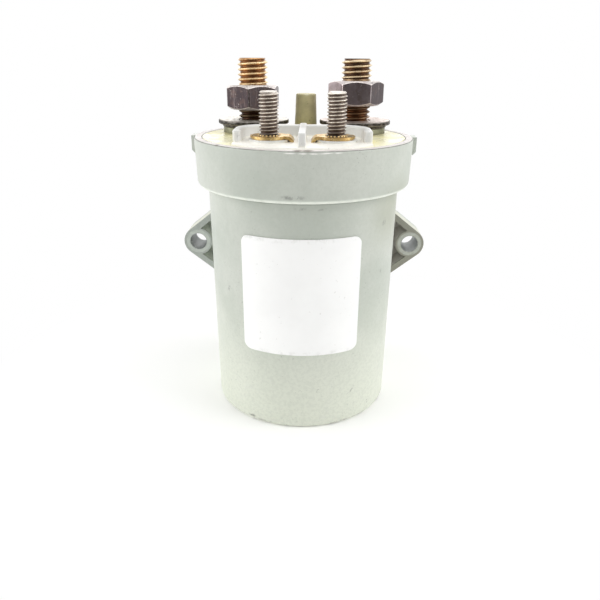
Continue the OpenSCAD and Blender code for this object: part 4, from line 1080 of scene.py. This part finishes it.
def make_fill_cap():
    foot = POTTING_Z - 1.5
    corners = [(0, foot), (CAP_FOOT_R, foot), (CAP_FOOT_R, POTTING_Z), (CAP_TOP_R, CAP_TOP), (0, CAP_TOP)]
    profile = eased(corners, 0.45, 6)
    fine = []
    for (r0, z0), (r1, z1) in zip(profile, profile[1:]):
        cuts = max(1, int(math.hypot(r1 - r0, z1 - z0) / 0.8))
        fine += [(r0 + (r1 - r0) * i / cuts, z0 + (z1 - z0) * i / cuts) for i in range(cuts)]
    fine.append(profile[-1])
    verts, faces = lathe(fine, (CAP_X, CAP_Y), 96)
    shaped = []
    for x, y, z in verts:
        away = Vector((x - CAP_X - 0.15, y - CAP_Y + 2.6, z - CAP_TOP))
        dent = 0.22 * math.exp(-(away.length / 0.5) ** 2)
        sag = 0.03 * noise.noise(Vector((x * 0.7, y * 0.7, z * 0.4)))
        reach = Vector((x - CAP_X, y - CAP_Y))
        out = reach * (1 + (sag - dent * 0.6) / max(reach.length, 0.5)) if reach.length > 0.3 else reach
        shaped.append((CAP_X + out.x, CAP_Y + out.y, min(z - dent * 0.7, CAP_TOP)))
    finished_piece("fill_tube_cap_moulded", bmesh_of(shaped, faces), "fill_tube_cap", 45)


# Springs: wound wire, set in the box of the spring's node

def make_spring(node, turns, wire, below, above):
    low, high = (Vector(corner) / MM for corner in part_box(node))
    coil_r, pitch = high.x - wire / 2, (high.z - low.z - wire) / turns
    sides, steps = 12, 36
    verts = []
    for j in range(steps + 1):
        a = 2 * math.pi * j / steps
        for k in range(sides):
            b = 2 * math.pi * k / sides
            r = coil_r + wire / 2 * math.cos(b)
            z = low.z + wire / 2 * (1 + math.sin(b)) + pitch * j / steps
            verts.append((r * math.cos(a), r * math.sin(a), z))
    bm = grown(turns_tree, verts, grid(steps + 1, sides),
               {"Turns": turns, "Pitch": pitch * MM, "Finish": spring_steel})
    close_ends(bm)
    finished_piece(node + "_wound", bm, node, 50, (below, above, low.z, high.z))


for side_name, sign in (("left", -1), ("right", 1)):
    make_power_stud(side_name, sign)
    make_nut(side_name, sign)
    for kind, radius, low, high in WASHERS:
        make_washer("%s_washer_%s" % (kind, side_name), sign, radius, low, high)
    make_coil_stud(side_name, sign)
    make_strap(side_name, sign)
make_platform()
make_potting()
make_fill_cap()
make_spring("return_spring", 5, 0.9, "armature", "contactor")
make_spring("contact_spring", 4, 1.1, "armature", "contact_bridge")


# Stage: pale floor, soft lamps, a dark card behind the camera, white surround

def stage_sheet(name, corners, material):
    mesh = bpy.data.meshes.new(name)
    mesh.from_pydata(corners, [], [list(range(len(corners)))])
    mesh.materials.append(material)
    sheet = bpy.data.objects.new(name, mesh)
    bpy.context.scene.collection.objects.link(sheet)
    return sheet


def seen_directly(tree):
    """1 for camera, glossy and transmission rays, else 0."""
    rays = tree.nodes.new("ShaderNodeLightPath").outputs
    first = wired(tree, "ShaderNodeMath", {0: rays["Is Camera Ray"], 1: rays["Is Glossy Ray"]}, operation="MAXIMUM")
    return wired(tree, "ShaderNodeMath", {0: first, 1: rays["Is Transmission Ray"]}, operation="MAXIMUM")


def make_floor():
    material = bpy.data.materials.new("pale_floor")
    material.use_nodes = True
    tree = material.node_tree
    tree.nodes.clear()
    seen = seen_directly(tree)
    place = wired(tree, "ShaderNodeTexCoord", {}, "Object")
    away = wired(tree, "ShaderNodeVectorMath", {0: place}, "Value", operation="LENGTH")
    fade = wired(tree, "ShaderNodeMapRange", {"Value": away, "From Min": 0.03, "From Max": 0.10})
    part = wired(tree, "ShaderNodeMath", {0: fade, 1: seen}, operation="MULTIPLY")
    # Seen directly the paper glows less, so that it is white in the light and keeps the shadow
    faint = wired(tree, "ShaderNodeMapRange", {"Value": seen, "To Min": 0.3, "To Max": 0.08})
    paper = wired(tree, "ShaderNodeBsdfDiffuse", {"Color": (0.93, 0.93, 0.92, 1)})
    table_light = wired(tree, "ShaderNodeEmission", {"Strength": faint})
    lit_paper = wired(tree, "ShaderNodeAddShader", {0: paper, 1: table_light})
    glow = wired(tree, "ShaderNodeEmission", {"Color": (1, 1, 1, 1), "Strength": 1.0})
    mixed = wired(tree, "ShaderNodeMixShader", {"Fac": part, 1: lit_paper, 2: glow})
    tree.links.new(mixed, tree.nodes.new("ShaderNodeOutputMaterial").inputs["Surface"])
    far, low = 2.0, -0.0002
    stage_sheet("floor", [(-far, -far, low), (far, -far, low), (far, far, low), (-far, far, low)], material)


def make_card():
    material = bpy.data.materials.new("dark_card")
    material.use_nodes = True
    shader = material.node_tree.nodes["Principled BSDF"]
    shader.inputs["Base Color"].default_value = (0.03, 0.03, 0.032, 1)
    shader.inputs["Roughness"].default_value = 0.9
    corners = [(-0.26, -0.42, 0.0), (0.26, -0.42, 0.0), (0.26, -0.36, 0.34), (-0.26, -0.36, 0.34)]
    card = stage_sheet("dark_card", corners, material)
    card.visible_camera = False
    card.visible_shadow = False


def make_surround():
    world = bpy.data.worlds.new("white_surround")
    bpy.context.scene.world = world
    world.use_nodes = True
    tree = world.node_tree
    sky = tree.nodes["Background"].inputs
    sky["Color"].default_value = (1, 1, 1, 1)
    level = wired(tree, "ShaderNodeMapRange", {"Value": seen_directly(tree), "To Min": 0.55, "To Max": 1.0})
    tree.links.new(level, sky["Strength"])


def make_lamp(name, place, target, width, height, power):
    lamp = bpy.data.lights.new(name, "AREA")
    lamp.shape = "RECTANGLE"
    lamp.size, lamp.size_y, lamp.energy = width, height, power
    holder = bpy.data.objects.new(name, lamp)
    bpy.context.scene.collection.objects.link(holder)
    holder.location = place
    holder.rotation_euler = (Vector(target) - Vector(place)).to_track_quat("-Z", "Y").to_euler()


def make_camera():
    eye = Vector((2.518, -155.998, 93.338)) * MM
    pitch, roll, yaw = 0.39989, 0.00734, -0.02016
    ahead = Vector((math.sin(yaw) * math.cos(pitch), math.cos(yaw) * math.cos(pitch), -math.sin(pitch)))
    right = ahead.cross(Vector((0, 0, 1))).normalized()
    up = right.cross(ahead)
    across = math.cos(roll) * right + math.sin(roll) * up
    upright = -math.sin(roll) * right + math.cos(roll) * up
    lens = bpy.data.cameras.new("camera")
    sensor, focal_pixels, picture_pixels = 36.0, 572.653, 600
    lens.sensor_fit, lens.sensor_width, lens.lens = "HORIZONTAL", sensor, focal_pixels / picture_pixels * sensor
    lens.clip_start = 0.01
    camera = bpy.data.objects.new("camera", lens)
    bpy.context.scene.collection.objects.link(camera)
    turn = Matrix((across, upright, -ahead)).transposed().to_4x4()
    camera.matrix_world = Matrix.Translation(eye) @ turn
    bpy.context.scene.camera = camera


make_floor()
make_card()
make_surround()
make_lamp("left_lamp", (-0.46, -0.10, 0.24), (0, 0, 0.05), 0.40, 0.40, 1.2)
make_lamp("right_lamp", (0.43, -0.10, 0.34), (0, 0, 0.05), 0.36, 0.36, 1.25)
make_lamp("top_lamp", (0.0, 0.02, 0.60), (0, 0, 0.07), 0.45, 0.45, 0.8)
make_lamp("back_lamp", (0.0, 0.52, 0.30), (0, 0, 0.05), 0.50, 0.40, 0.7)
make_camera()
bpy.context.scene.view_settings.view_transform = "Standard"
